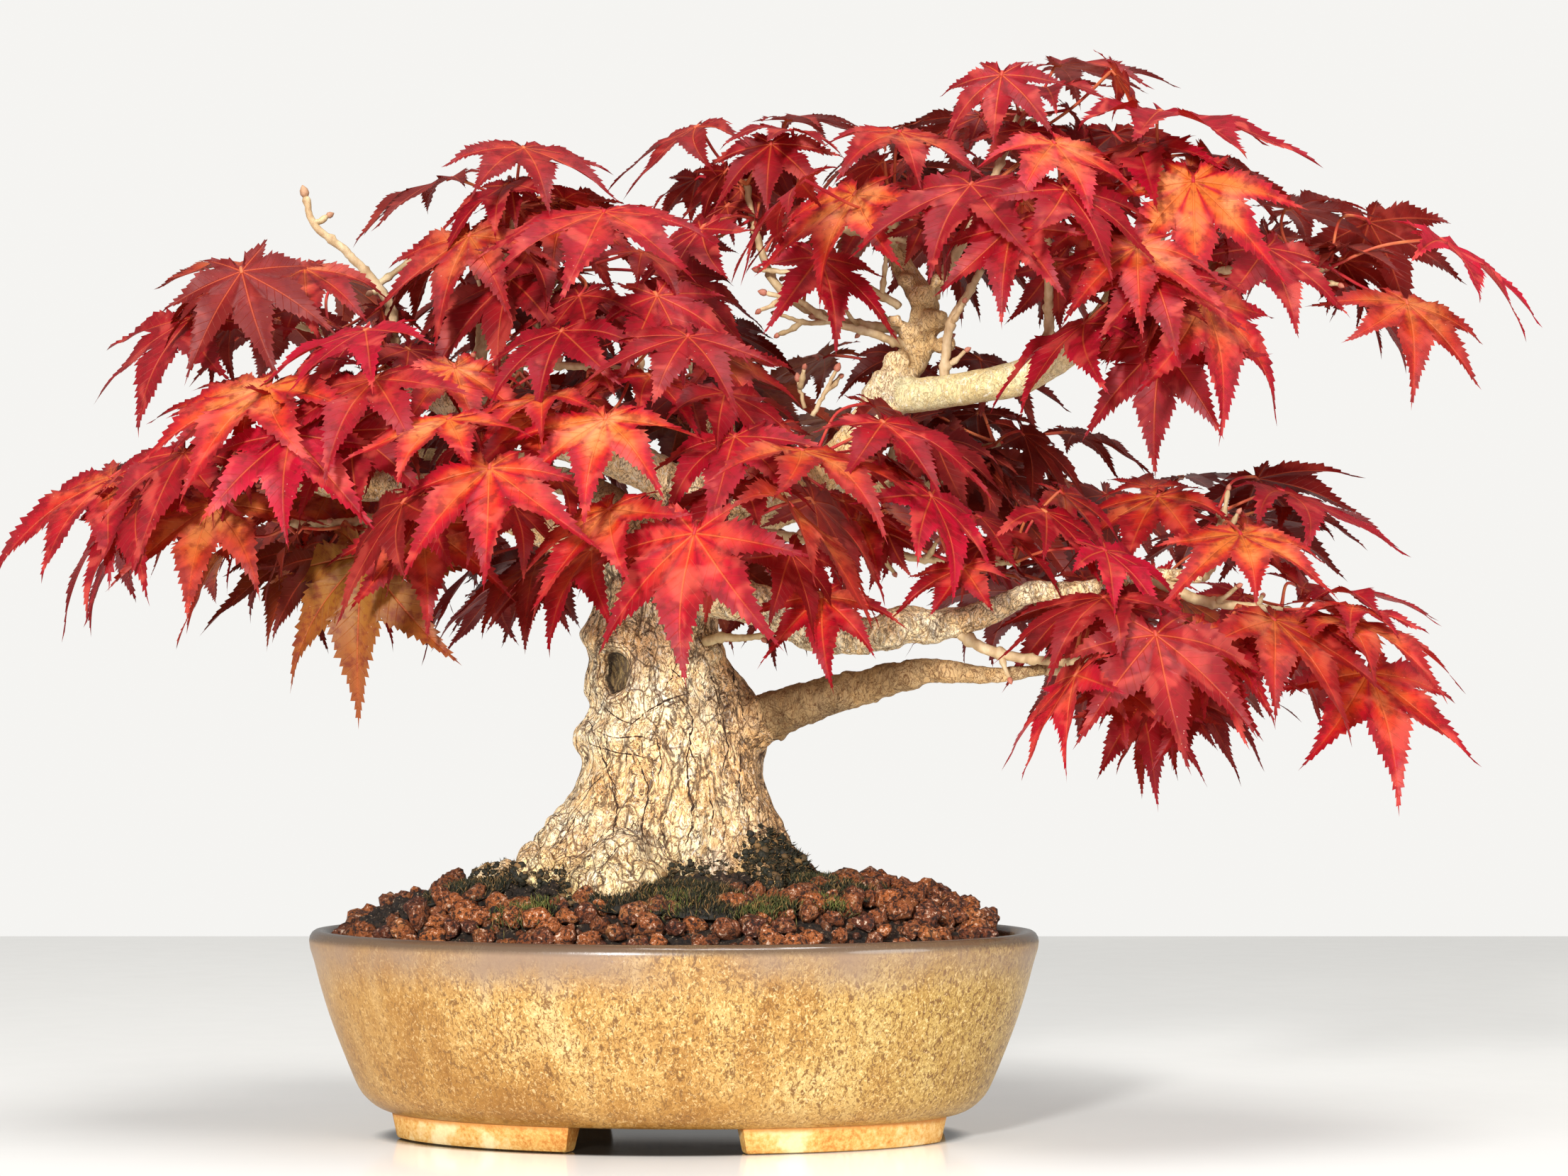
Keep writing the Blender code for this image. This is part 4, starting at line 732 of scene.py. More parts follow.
limbs = {  # each point of a route is x, y, z and the radius; the mood is how brown and how green
    "lower_right_branch": {
        "mood": (0.85, 0.15),
        "route": (
            (10, -3, 108, 7.5), (24.6, -8, 113.3, 7.0), (36, -12, 118, 5.8), (49, -17, 121.3, 4.9),
            (62, -22, 125, 4.3), (71, -26, 126.4, 3.4), (86, -30, 125.2, 2.2), (100, -33, 126.8, 1.6),
        ),
    },
    "upper_right_branch": {
        "mood": (0.14, 0.12),
        "route": (
            (-3, -8, 146, 7.4), (10, -15, 147.5, 6.4), (27, -21, 143, 5.4), (40, -24, 136, 5.0),
            (56, -27, 136.4, 4.8), (62, -28, 138.8, 5.2), (71, -30, 138.2, 4.4),
            (84, -32, 141.6, 3.6), (96, -34, 147, 3.0), (111, -36, 147.6, 2.6),
            (126, -38, 151.4, 2.1), (141, -39, 151.2, 1.7),
        ),
    },
    "lower_left_branch": {
        "mood": (0.2, 0.2),
        "route": (
            (-3, -1, 150, 7.2), (-22, -8, 160, 6.4), (-42, -14, 169, 5.4), (-66, -18, 175, 4.6),
            (-92, -20, 177, 3.8), (-112, -20, 181, 2.8), (-126, -19, 184, 2.0),
        ),
    },
    "upper_left_branch": {
        "mood": (0.15, 0.2),
        "route": (
            (5, 1, 175, 6.4), (-12, -3, 184, 5.8), (-32, -6, 190, 5.0), (-54, -6, 197, 4.3),
            (-70, -2, 205, 3.6), (-78, 6, 213, 2.9),
        ),
    },
    "crown_limb": {
        "mood": (0.3, 0.35),
        "route": (
            (5, 2, 170, 6.6), (20, 0, 174.5, 6.2), (34, -1, 177.6, 5.9), (45, -2, 184, 5.6),
            (52.5, -3, 193, 5.6), (60, -4, 203, 6.4), (62, -4, 207, 5.0),
        ),
    },
    "crown_branch": {
        "mood": (0.1, 1.0),
        "route": (
            (59, -4, 202, 4.8), (67, -8, 202, 4.8), (80, -12, 203.5, 4.5), (93, -17, 205.6, 4.9),
            (102, -20, 209.5, 4.3), (110, -22, 215, 4.2), (117, -24, 221, 4.3), (124, -26, 233, 3.9),
            (131, -26, 239, 3.0),
        ),
    },
    "crown_leader": {
        "mood": (0.60, 0.35),
        "route": (
            (60.5, -4, 205, 4.6), (64.5, -2.5, 211, 4.6), (68, -1, 218, 4.4), (69, 0, 228, 4.0),
            (64, 2, 237, 3.2), (60, 3, 245, 2.4),
        ),
    },
    "back_right_branch": {
        "mood": (0.4, 0.3),
        "route": (
            (2, 3, 157, 6.0), (12, 16, 164, 5.2), (28, 34, 172, 4.4), (48, 54, 178, 3.6),
            (72, 72, 182, 2.8), (90, 84, 184, 2.0),
        ),
    },
    "back_left_branch": {
        "mood": (0.4, 0.3),
        "route": (
            (-1, 3, 161, 6.0), (-9, 17, 168, 5.3), (-22, 34, 177, 4.5), (-42, 52, 185, 3.6),
            (-64, 67, 190, 2.8), (-80, 76, 192, 2.0),
        ),
    },
}


def trunkPath(step):
    # The trunk's sections about one step apart: the middle's x, y and z, half-width and half-depth.
    return smoothRoute([(x, y, z, *halves) for z, x, y, *halves in wood["trunkSections"]], step)


def trunkRing(section):
    x, y, z, halfWidth, halfDepth = section
    ridges = 0.11 * max(0, min(1, (98 - z) / 30))
    ring = []
    for i in range(wood["trunkSides"]):
        angle = math.tau * i / wood["trunkSides"]
        swell = 1 + ridges * (math.cos(3 * angle + 0.4) + 0.6 * math.cos(5 * angle + 2))
        swell += 0.02 * math.cos(4 * angle + z / 9)
        reachX, reachY = halfWidth * swell * math.cos(angle), halfDepth * swell * math.sin(angle)
        ring.append(fromPot(x + reachX, y + reachY, z))
    return ring


def trunkRelief(x, y, z, facing):
    # How far the bark stands out or in, in millimetres.
    lumps = noise.noise((x / 11, y / 11, z / 13))
    ridges = noise.noise((x / 4.2 + 7, y / 4.2, z / 24))
    knobs = noise.noise((x / 5, y / 5 + 3, z / 4.4))
    fine = noise.noise((x / 2, y / 2, z / 4))
    low = smoothStep(96, 74, z)
    height = 1.5 * lumps + 0.9 * ridges + 0.35 * fine + (0.5 + 1.5 * low) * knobs
    # Long upright cracks on the right, a net of shallow ones elsewhere.
    upright = noise.noise((x / 3.4 + 20, y / 3.4, z / 30))
    net = noise.noise((x / 5 + 40, y / 5, z / 6))
    right = smoothStep(-4, 8, x)
    height -= right * 0.9 * math.exp(-((upright / 0.07) ** 2))
    height -= (1 - right) * 0.25 * math.exp(-((net / 0.06) ** 2))
    # Folds of bark, one above another, down the left edge.
    left = max(0, -facing.x) * smoothStep(170, 140, z) * smoothStep(92, 106, z)
    height += left * 1.1 * math.sin(z / 2.1 + 1.5 * lumps)
    return height


def knotRelief(place):
    # The healed wound: a rolled rim round a hollow. Returns the height and how near the middle is.
    centre = Vector(wood["knotPlace"])
    out = Vector((centre.x + 4, centre.y, 0)).normalized()
    away = place - centre
    depth = away.dot(out)
    flat = away - out * depth
    flat.z *= 0.86
    reach = flat.length / wood["knotRadius"]
    if reach > 2 or depth < -9:
        return 0, 0
    rim = 1.5 * math.exp(-(((reach - 0.82) / 0.24) ** 2))
    hollow = -2.4 * smoothStep(0.64, 0.52, reach)
    ripples = 0.30 * math.cos(reach * 15) * smoothStep(1.9, 1.0, reach)
    return rim + hollow + ripples, 1 - reach / 2


def growWood():
    # Trunk and limbs, merged where they meet.
    heap = Heap()
    heap.add(*skinOver([trunkRing(section) for section in trunkPath(wood["trunkStep"])]))
    knobs = []
    for x, y, z, r in crownKnobs:
        knobs.append(((x, y, z - 0.6 * r, r * 0.75), (x, y, z, r), (x, y, z + 0.6 * r, r * 0.75)))
    for route in [limb["route"] for limb in limbs.values()] + list(rootToes) + knobs:
        path = smoothRoute(route, 2)
        heap.add(*tubeSkin([p[:3] for p in path], [p[3] for p in path], wood["limbSides"]))
    blank = looseObject("wood_blank", heap.points, heap.faces)
    remesh = blank.modifiers.new("grow", "REMESH")
    remesh.mode = "VOXEL"
    remesh.voxel_size = wood["voxel"] * mm
    soften = blank.modifiers.new("soften", "SMOOTH")
    soften.factor = 0.5
    soften.iterations = 4
    return bakeModifiers(blank)


def nearestLimbs():
    # Every few millimetres of wood, with its radius and its mood.
    marks = []
    sections = trunkPath(3)
    for section in sections:
        marks.append((Vector(section[:3]), (section[3] + section[4]) / 2, None))
    for limb in limbs.values():
        for point in smoothRoute(limb["route"], 3):
            level = min(sections, key=lambda s: abs(s[2] - point[2]))
            reach = math.hypot((point[0] - level[0]) / level[3], (point[1] - level[1]) / level[4])
            mood = limb["mood"] if reach >= wood["trunkShare"] else None
            marks.append((Vector(point[:3]), point[3], mood))
    return marks


def carveBark(mesh):
    # Moves each point of the skin out or in, and notes its colours.
    count = len(mesh.vertices)
    places = np.empty(count * 3, np.float32)
    normals = np.empty(count * 3, np.float32)
    mesh.vertices.foreach_get("co", places)
    mesh.vertex_normals.foreach_get("vector", normals)
    places, normals = places.reshape(-1, 3), normals.reshape(-1, 3)
    marks = nearestLimbs()
    limbTree = KDTree(len(marks))
    for i, (at, _, _) in enumerate(marks):
        limbTree.insert(at, i)
    limbTree.balance()
    moods = np.zeros((count, 3), np.float32)
    middle = np.array(potMiddle)
    (crustX, crustZ), (crustWide, crustHigh) = wood["crustPlace"], wood["crustReach"]
    for i in range(count):
        x, y, z = (places[i] - middle) / mm
        place, normal = Vector((x, y, z)), Vector(normals[i])
        near = [(distance - marks[k][1], k) for _, k, distance in limbTree.find_n(place, 5)]
        _, radius, mood = marks[min(near)[1]]
        if mood is None:
            # Browner towards the trunk's right side: partly the bark's own warmer tone, partly
            # painted shade on the side away from the light.
            brown, green = 0.16 + 0.36 * smoothStep(4, 22, x), 0
            height = trunkRelief(x, y, z, normal)
            rise, knot = knotRelief(place)
            height += rise
            crust = math.exp(-(((x - crustX) / crustWide) ** 2) - ((z - crustZ) / crustHigh) ** 2)
            brown += 0.55 * crust
            height += 1.2 * crust * noise.noise((x / 1.8, y / 1.8, z / 1.8))
        else:
            (brown, green), knot = mood, 0
            knobs = noise.noise((x / 4.5, y / 4.5, z / 4.5))
            fine = noise.noise((x / 1.6, y / 1.6, z / 1.6))
            height = min(0.9, radius * 0.20) * (knobs + 0.6 * fine) * (1 - 0.75 * green)
        places[i] += normals[i] * height * mm
        moods[i] = (brown + 0.3 * noise.noise((x / 16, y / 16, z / 16)), green, knot)
    mesh.vertices.foreach_set("co", places.ravel())
    layer = mesh.attributes.new("barkMood", "FLOAT_VECTOR", "POINT")
    layer.data.foreach_set("vector", moods.ravel())
    mesh.update()


def barkFinish():
    finish = Finish("mapleBark")
    brown, green, knot = finish.mood("barkMood")
    height = finish.along("Z")
    grain = finish.noise(330, 6, 0.68, finish.stretched(1, 1, 0.42), 1.6)
    worms = finish.noise(150, 4, 0.6, finish.stretched(1, 1, 0.7), 2.4)
    patches = finish.noise(48, 4, 0.6)
    plates = finish.cells(230, "DISTANCE_TO_EDGE", finish.stretched(1, 1, 0.62))
    drift = finish.mix((0, 0, 0), (0.010, 0.010, 0.010), worms)
    wander = finish.vectors("ADD", {0: finish.stretched(1, 1, 0.16), 1: drift})
    cracks = finish.cells(140, "DISTANCE_TO_EDGE", wander)
    colour = finish.ramp(
        grain * 0.55 + patches * 0.45,
        (
            (0.34, (0.620, 0.310, 0.100)),
            (0.42, (0.900, 0.570, 0.250)),
            (0.50, (0.990, 0.750, 0.420)),
            (0.60, (1.0, 0.880, 0.620)),
        ),
    )
    # Orange-brown, then dark brown, as the mood grows browner; on the trunk's right side this is
    # partly painted shade.
    colour = finish.mix(colour, (0.860, 0.450, 0.160), brown.step(0.16, 0.44) * 0.55)
    colour = finish.mix(colour, (0.215, 0.115, 0.040), brown.step(0.34, 0.90) * (0.50 + 0.55 * grain))
    lowDown = (height + 0.02 * (patches - 0.5)).step(0.088, 0.070)
    colour = finish.mix(colour, (0.820, 0.560, 0.150), lowDown * patches.step(0.46, 0.60) * 0.55)
    colour = finish.mix(colour, (0.98, 0.90, 0.72), lowDown * patches.step(0.46, 0.34) * 0.5)
    colour = finish.mix(colour, (0.68, 0.60, 0.27), green * 0.62)
    rough = 1 - 0.75 * green
    squiggle = abs(worms - 0.5).step(0.022, 0.0)
    colour = finish.mix(colour, (0.180, 0.068, 0.016), squiggle * rough * 0.82)
    hairs = finish.noise(400, 3, 0.55, finish.stretched(1, 1, 0.42), 2.2)
    hairLine = abs(hairs - 0.5).step(0.030, 0.006)
    colour = finish.mix(colour, (0.170, 0.060, 0.014), hairLine * rough * (0.30 + 0.95 * patches))
    stipple = finish.noise(760, 3, 0.6, finish.stretched(1, 1, 0.5), 1.2)
    colour = finish.mix(colour, (0.170, 0.062, 0.015), stipple.step(0.41, 0.34) * rough * 0.65)
    # Near-white flecks: partly pale bark, partly painted highlight.
    paleFleckAndHighlight = stipple.step(0.56, 0.68) * brown.step(0.75, 0.35)
    colour = finish.mix(colour, (1.0, 0.97, 0.86), paleFleckAndHighlight * 0.6)
    trunkOnly = 1 - green.step(0.05, 0.2)
    netLine = plates.step(0.060, 0.005) * patches.step(0.41, 0.53) * trunkOnly
    colour = finish.mix(colour, (0.10, 0.038, 0.012), netLine * 0.80)
    crackLine = cracks.step(0.055, 0.0) * trunkOnly
    colour = finish.mix(colour, (0.050, 0.018, 0.006), crackLine * 0.85)
    # The wound: an olive-brown hollow, its dark edge, and rings of bark that closed in on it.
    reach = (1 - knot) * 2 + 0.16 * (worms - 0.5)
    ringed = reach.step(0.50, 0.56) * reach.step(1.12, 0.84)
    rings = (reach * 52).sine().step(0.35, 0.95) * ringed
    colour = finish.mix(colour, (0.130, 0.048, 0.014), rings * 0.85)
    bare = finish.mix((0.045, 0.022, 0.008), (0.260, 0.170, 0.060), hairs.step(0.42, 0.60))
    colour = finish.mix(colour, bare, reach.step(0.60, 0.54) * 0.94)
    rim = reach.step(0.50, 0.545) * reach.step(0.62, 0.57)
    colour = finish.mix(colour, (0.020, 0.009, 0.004), rim * 0.9)
    # Dark brown at the foot of the trunk, from just under the soil line down.
    darkFoot = (height + 0.010 * (patches - 0.5)).step(0.0680, 0.0630)
    colour = finish.mix(colour, (0.045, 0.032, 0.014), darkFoot * 0.85)
    lines = squiggle * 0.25 + crackLine * 0.9 + netLine * 0.5 + hairLine * 0.3
    relief = grain * 0.45 + worms * 0.3 - lines
    return finish.surface(
        {
            "Base Color": colour,
            "Roughness": 0.66 + 0.22 * grain,
            "Normal": finish.bump(relief, 0.75, 0.7),
        }
    )


def makeWood():
    mesh = growWood()
    carveBark(mesh)
    mesh.shade_smooth()
    mesh.name = "tree_wood"
    made = bpy.data.objects.new("tree_wood", mesh)
    settle(made, barkFinish(), ("trunk", *limbs))
    print("wood", len(mesh.polygons), "faces")
    return made


treeWood = makeWood()


def crackFinish():
    finish = Finish("barkCrack")
    grain = finish.noise(900, 3)
    colour = finish.mix((0.020, 0.008, 0.003), (0.110, 0.045, 0.015), grain.step(0.4, 0.75))
    normal = finish.bump(grain, 0.5, 0.3)
    return finish.surface({"Base Color": colour, "Roughness": 0.9, "Normal": normal})


def makeCracks():
    # Dark lines let into the bark, so thin that they hardly stand out from it.
    mesh = treeWood.data
    skin = BVHTree.FromPolygons([v.co for v in mesh.vertices], [p.vertices[:] for p in mesh.polygons])
    dice = random.Random(21)
    heap = Heap()
    for halfWidth, *marks in barkCracks:
        path, radii = [], []
        route = smoothRoute([(x, z) for x, z in marks], 0.7)
        for i, (x, z) in enumerate(route):
            wobble = 0.7 * noise.noise((x * 0.55, z * 0.55, halfWidth * 40))
            start = fromPot(x + wobble, -90, z)
            hit, normal, _, _ = skin.ray_cast(start, Vector((0, 1, 0)))
            if hit is None:
                continue
            width = halfWidth * math.sin(math.pi * (i + 0.6) / (len(route) + 0.2)) ** 0.6
            path.append((hit - potMiddle) / mm - normal * width * 0.55)
            radii.append(width * dice.uniform(0.6, 1.1))
        if len(path) > 3:
            heap.add(*tubeSkin(path, radii, 6))
    makePiece("bark_cracks", heap.points, heap.faces, crackFinish(), "bark")


makeCracks()


# Twigs.

twigs = {
    "radii": (1.7, 0.85),  # at the start and at the end, here and below
    "spurRadii": (0.85, 0.55),
    "bareRadii": (1.7, 0.9),
    "shootRadii": (0.95, 0.65),
    "budShare": 0.55,  # how many nodes carry a bud
    "spurShare": 0.8,  # how many of the others carry a spur
    "step": 0.9,
    "sides": 9,
    "nodeSpacing": 11,
    "nodeSwell": (0.42, 0.75),  # how much it swells, and over what length
    "nodePinch": (0.12, 1.7, 0.6),  # how much it thins, how far past the node, over what length
    "seed": 5,
    "routes": {
        "spray_crown_top": ((69, 0, 226), (77, -2, 240), (88, -2, 262), (96, 0, 282)),
        "spray_crown_right": ((130, -26, 238), (133, -25, 252), (131, -24, 266)),
        "spray_crown_front": ((102, -20, 209.5), (101, -32, 228), (100, -42, 246)),
        "spray_crown_left": ((60.5, 2.8, 244), (60, -12, 249), (60, -26, 252)),
        "spray_crown_back": ((62, 2.5, 241), (66, 18, 252), (72, 36, 258), (80, 52, 258)),
        "spray_crown_arm": ((124, -26, 233), (130, -36, 229), (132, -44, 227)),
        "spray_far_right": ((131, -26, 239), (148, -16, 236), (166, -8, 234), (182, -6, 238)),
        "spray_top_middle": (
            (68.5, -0.5, 221), (46, -4, 222.5), (29, -4, 232), (22, -4, 250), (20, -4, 262),
        ),
        "spray_upper_left": ((-54, -6, 197), (-51, -12, 218), (-45, -15, 240), (-42, -16, 254)),
        "spray_upper_middle": ((-32, -6, 190), (-37, -16, 207), (-35, -20, 221), (-26, -22, 236)),
        "spray_middle": (
            (-46, -6, 194), (-51, -24, 203), (-44, -32, 208), (-28, -34, 207.5), (-8, -36, 206),
        ),
        "spray_front_left": ((-42, -14, 169), (-44, -32, 176), (-46, -50, 180), (-47, -62, 181)),
        "spray_front": ((-3, -4, 155), (2, -22, 158), (9, -44, 161), (16, -62, 162)),
        "spray_centre_right": ((20, 0, 174.5), (24, -20, 178), (32, -38, 181), (40, -50, 183)),
        "spray_right_middle": (
            (0, -4, 162), (20, -20, 164), (39, -25, 161), (52, -28, 159), (70, -30, 156),
            (93, -32, 155),
        ),
        "spray_behind_right": ((28, 34, 172), (50, 34, 181), (74, 34, 188), (92, 34, 192)),
        "spray_left_top": ((-78, 6, 213), (-92, 4, 219), (-105, 0, 223), (-113, -1, 229)),
        "spray_left_middle": ((-68, -3, 204), (-72, -18, 208), (-76, -30, 208)),
        "spray_left_front": ((-92, -20, 177), (-96, -29, 187), (-99, -36, 195)),
        "spray_left_tip": ((-126, -19, 184), (-136, -16, 184), (-145, -12, 183)),
        "spray_left_low": ((-66, -18, 175), (-78, -22, 168), (-92, -24, 166), (-104, -24, 166)),
        "spray_lower_right": (
            (74, -30.5, 139), (84, -34, 132), (98, -38, 129), (108, -47, 129), (114, -56, 131),
        ),
        "spray_right_tip": ((126, -38, 151.4), (140, -39, 145), (156, -35, 143), (170, -28, 142)),
        "spray_right_top": ((141, -39, 151.2), (146, -28, 158), (149, -14, 165), (150, 0, 171)),
        "spray_right_under": ((100, -33, 126.8), (114, -18, 126), (130, 0, 125), (138, 12, 125)),
        "spray_under_middle": ((-16, 25, 173), (-24, 22, 166), (-34, 18, 162)),
        "spray_back_left": ((-80, 76, 192), (-90, 80, 194), (-100, 82, 194)),
        "spray_back_left_high": ((-42, 52, 185), (-46, 52, 202), (-46, 50, 220), (-42, 48, 234)),
        "spray_back_middle": ((20, 25, 168), (14, 50, 172), (6, 76, 174), (0, 94, 172)),
        "spray_back_middle_high": ((10.5, 2, 192), (8, 24, 202), (4, 44, 214), (0, 58, 224)),
        "spray_back_right": ((90, 84, 184), (100, 86, 185), (112, 84, 184)),
        "spray_back_right_high": ((60, 63.5, 180.5), (64, 64, 198), (68, 62, 214), (70, 60, 226)),
        "spray_back_far_right": (
            (90, -33, 144.4), (100, -14, 147), (112, 10, 150), (124, 34, 152), (132, 50, 152),
        ),
        "spray_back_far_left": ((-84, -19.6, 176.5), (-92, 4, 179), (-102, 26, 182), (-110, 46, 183)),
    },
    "paleRoutes": (  # thin leafless twigs: radius at the start and the end, then the way
        (
            1.35, 0.7, (67.1, -3, 214.9), (54.8, -7, 219), (43, -9, 222.1), (34.7, -10, 227.4),
            (25.7, -10, 229.7),
        ),
        (
            1.2, 0.6, (62, -3, 227), (48.1, -9, 233.9), (40.3, -10, 233.3), (33.5, -10, 235.2),
            (24, -8, 236.4),
        ),
        (0.8, 0.5, (43, -9, 222.1), (36.9, -10, 221.6), (29.1, -8, 224.1)),
        (0.7, 0.5, (38, -12, 196), (40.3, -12, 200), (43, -12, 205.1), (44.5, -12, 208.2)),
        (0.6, 0.5, (36, -12, 198), (35.1, -12, 201.7), (34.4, -12, 205.3)),
        (1.5, 1.0, (74, -9, 203), (75.5, -9, 220.2), (80.5, -9, 229.1), (84.4, -8, 236.4)),
        (
            1.2, 0.7, (80, -9, 246), (86.1, -9, 244.7), (96.1, -9, 243.6), (105.1, -9, 241.4),
            (117, -10, 238),
        ),
        (1.1, 0.7, (-54, -6, 206), (-53.1, -8, 222.4), (-54.2, -9, 228.5), (-51.4, -9, 235.2)),
        (0.9, 0.6, (-36, -12, 226), (-32.4, -14, 231.9), (-28.5, -16, 235.2), (-24.6, -16, 240.3)),
        (0.8, 0.6, (-7.8, -30, 212.9), (-7.6, -32, 206.2), (-8.1, -30, 197.2)),
        (1.0, 0.8, (-46, -20, 205), (-43.6, -28, 212.9), (-38, -28, 214.9), (-34.1, -28, 215.7)),
        (1.3, 0.9, (44, -4, 249), (54.8, -6, 246.2), (63.7, -4, 245.3)),
        (1.5, 0.7, (9, -12, 134.5), (13.5, -15, 135.6), (19, -17, 135.4), (25.3, -18, 136)),
    ),
    "bareTwig": ((-78, 6, 213), (-79.6, 8, 229), (-91, 5, 243), (-99.5, 3, 250), (-102, 2, 258)),
    "bareShoots": ((-67, 12, 248), (-84, 6, 232), (-96.5, 5, 253)),
}


def noddedRadii(path, start, end, spacing, dice):
    # Radii along a twig that thins out and swells in a ring at each node.
    steps = np.linalg.norm(np.diff(path, axis=0), axis=1)
    walked = np.concatenate([[0], np.cumsum(steps)])
    length = walked[-1]
    radii = start + (end - start) * walked / length
    swell, swellReach = twigs["nodeSwell"]
    pinch, pinchPast, pinchReach = twigs["nodePinch"]
    at = spacing * dice.uniform(0.4, 0.8)
    nodes = []
    while at < length - 1:
        radii = radii * (1 + swell * np.exp(-(((walked - at) / swellReach) ** 2)))
        radii = radii * (1 - pinch * np.exp(-(((walked - at - pinchPast) / pinchReach) ** 2)))
        nodes.append(int(np.argmin(abs(walked - at))))
        at += spacing * dice.uniform(0.75, 1.3)
    return radii, nodes


def addBud(heap, place, direction, size, mood):
    path = [place + direction * (size * t) for t in (0, 0.25, 0.6, 0.85, 1)]
    heap.add(*tubeSkin(path, [size * r for r in (0.24, 0.38, 0.34, 0.17, 0.03)], 8), mood)


def addTwig(heap, route, start, end, dice, spurs=True):
    path = smoothRoute(route, twigs["step"])
    path = [p + np.array([dice.gauss(0, 0.10) for _ in range(3)]) for p in path]
    radii, nodes = noddedRadii(np.array(path), start, end, twigs["nodeSpacing"], dice)
    mood = (dice.uniform(0.1, 0.5), dice.uniform(0, 0.5), 0)
    heap.add(*tubeSkin(path, list(radii), twigs["sides"]), mood)
    for k in nodes if spurs else ():
        place = Vector(path[k])
        tangent = (Vector(path[min(k + 1, len(path) - 1)]) - Vector(path[k - 1])).normalized()
        across = tangent.orthogonal().normalized()
        across.rotate(Matrix.Rotation(dice.uniform(0, math.tau), 3, tangent))
        direction = (across + tangent * 0.7).normalized()
        if dice.random() < twigs["budShare"]:
            bud = place + across * radii[k] * 0.7
            addBud(heap, bud, direction, dice.uniform(1.6, 2.6), (0.8, 0, 0.6))
        elif dice.random() < twigs["spurShare"]:
            reach = dice.uniform(4, 12)
            end = place + direction * reach + Vector((0, 0, 1.2))
            spur = smoothRoute([place, place + direction * reach * 0.5, end], 0.8)
            spurRadii, _ = noddedRadii(np.array(spur), *twigs["spurRadii"], 5, dice)
            heap.add(*tubeSkin(spur, list(spurRadii), 7), mood)
            addBud(heap, Vector(spur[-1]), direction, 2.0, (0.8, 0, 0.7))


def youngBarkFinish():
    finish = Finish("youngBark")
    brown, green, pink = finish.mood("twigMood")
    streaks = finish.noise(500, 4, 0.6, finish.stretched(1, 1, 0.5))
    patches = finish.noise(120, 3)
    colour = finish.ramp(
        streaks * 0.5 + patches * 0.5,
        ((0.32, (0.30, 0.16, 0.075)), (0.5, (0.60, 0.42, 0.22)), (0.66, (0.80, 0.64, 0.40))),
    )
    colour = finish.mix(colour, (0.22, 0.09, 0.04), brown * 0.55)
    colour = finish.mix(colour, (0.50, 0.48, 0.20), green * 0.4)
    colour = finish.mix(colour, (0.50, 0.04, 0.05), pink * 0.7)
    normal = finish.bump(streaks, 0.4, 0.3)
    return finish.surface({"Base Color": colour, "Roughness": 0.55 + 0.2 * streaks, "Normal": normal})


def makeTwigs():
    dice = random.Random(twigs["seed"])
    finish = youngBarkFinish()
    heap = Heap()
    for route in twigs["routes"].values():
        addTwig(heap, route, *twigs["radii"], dice)
    for start, end, *route in twigs["paleRoutes"]:
        addTwig(heap, route, start, end, dice)
        last, before = Vector(route[-1]), Vector(route[-2])
        addBud(heap, last, (last - before).normalized(), 2.6, (0.9, 0, 0.7))
    moods = {"twigMood": heap.moods}
    makePiece("leafy_twigs", heap.points, heap.faces, finish, "young_bark", moods=moods)
    heap = Heap()
    addTwig(heap, twigs["bareTwig"], *twigs["bareRadii"], dice, spurs=False)
    spine = [Vector(p) for p in smoothRoute(twigs["bareTwig"], 1)]
    addBud(heap, spine[-1], Vector((-0.3, 0, 1)).normalized(), 3.4, (0.9, 0, 0.2))
    for end in twigs["bareShoots"]:
        end = Vector(end)
        near = min(spine[4:], key=lambda p: (p - end).length)
        shoot = [near, near.lerp(end, 0.5) + Vector((0, 0, -0.6)), end]
        path = smoothRoute(shoot, 0.9)
        radii, _ = noddedRadii(np.array(path), *twigs["shootRadii"], 6, dice)
        heap.add(*tubeSkin(path, list(radii), 8), (0.2, 0.3, 0))
        addBud(heap, Vector(path[-1]), (end - near).normalized(), 2.4, (0.9, 0, 0.3))
    moods = {"twigMood": heap.moods}
    replaced = ("bare_twig",)
    makePiece("bare_twig_wood", heap.points, heap.faces, finish, "young_bark", replaced, moods)


makeTwigs()
print("twigs")


# Leaves.

leafShape = {
    "lobes": (  # bearing, length, place and half-width of the widest part, teeth a side
        (0, 1.0, 0.44, 0.168, 14),
        (41, 0.96, 0.42, 0.152, 13),
        (82, 0.80, 0.40, 0.122, 11),
        (134, 0.38, 0.42, 0.066, 5),
    ),
    # Between the lobes: bearing, and reach from the middle of the leaf.
    "notches": ((20, 0.36), (60, 0.31), (110, 0.20), (172, 0.05)),
    "toothDepth": 0.018,
    "toothSizes": (0.55, 1.6, 0.75, 1.25, 0.6),
    "toothLean": 0.55,
    "ribRows": 5,
    "columns": (0, 0.36, 0.72, 1),
    "veinLean": 0.85,
    "stalkRadius": 0.5,
    "sag": (0.12, 0.22),
    "fold": (0.10, 0.42),
    "tipDip": (0.00, 0.20),
    "tipTurn": 0.10,
    "tipTwist": 0.38,
    "innerShare": 0.75,  # how many leaves have a small one beside them that the CAD leaves out
    "cadHubEdges": 17,  # a CAD blade's middle has at least this many edges
    "cadThickness": 1.6,  # and its two faces are closer than this
    "cadFall": 0.16,  # how far its tip falls, for a blade of length 1
    "stalkLength": 9,
    "moodReach": 11,
    "seed": 11,
}


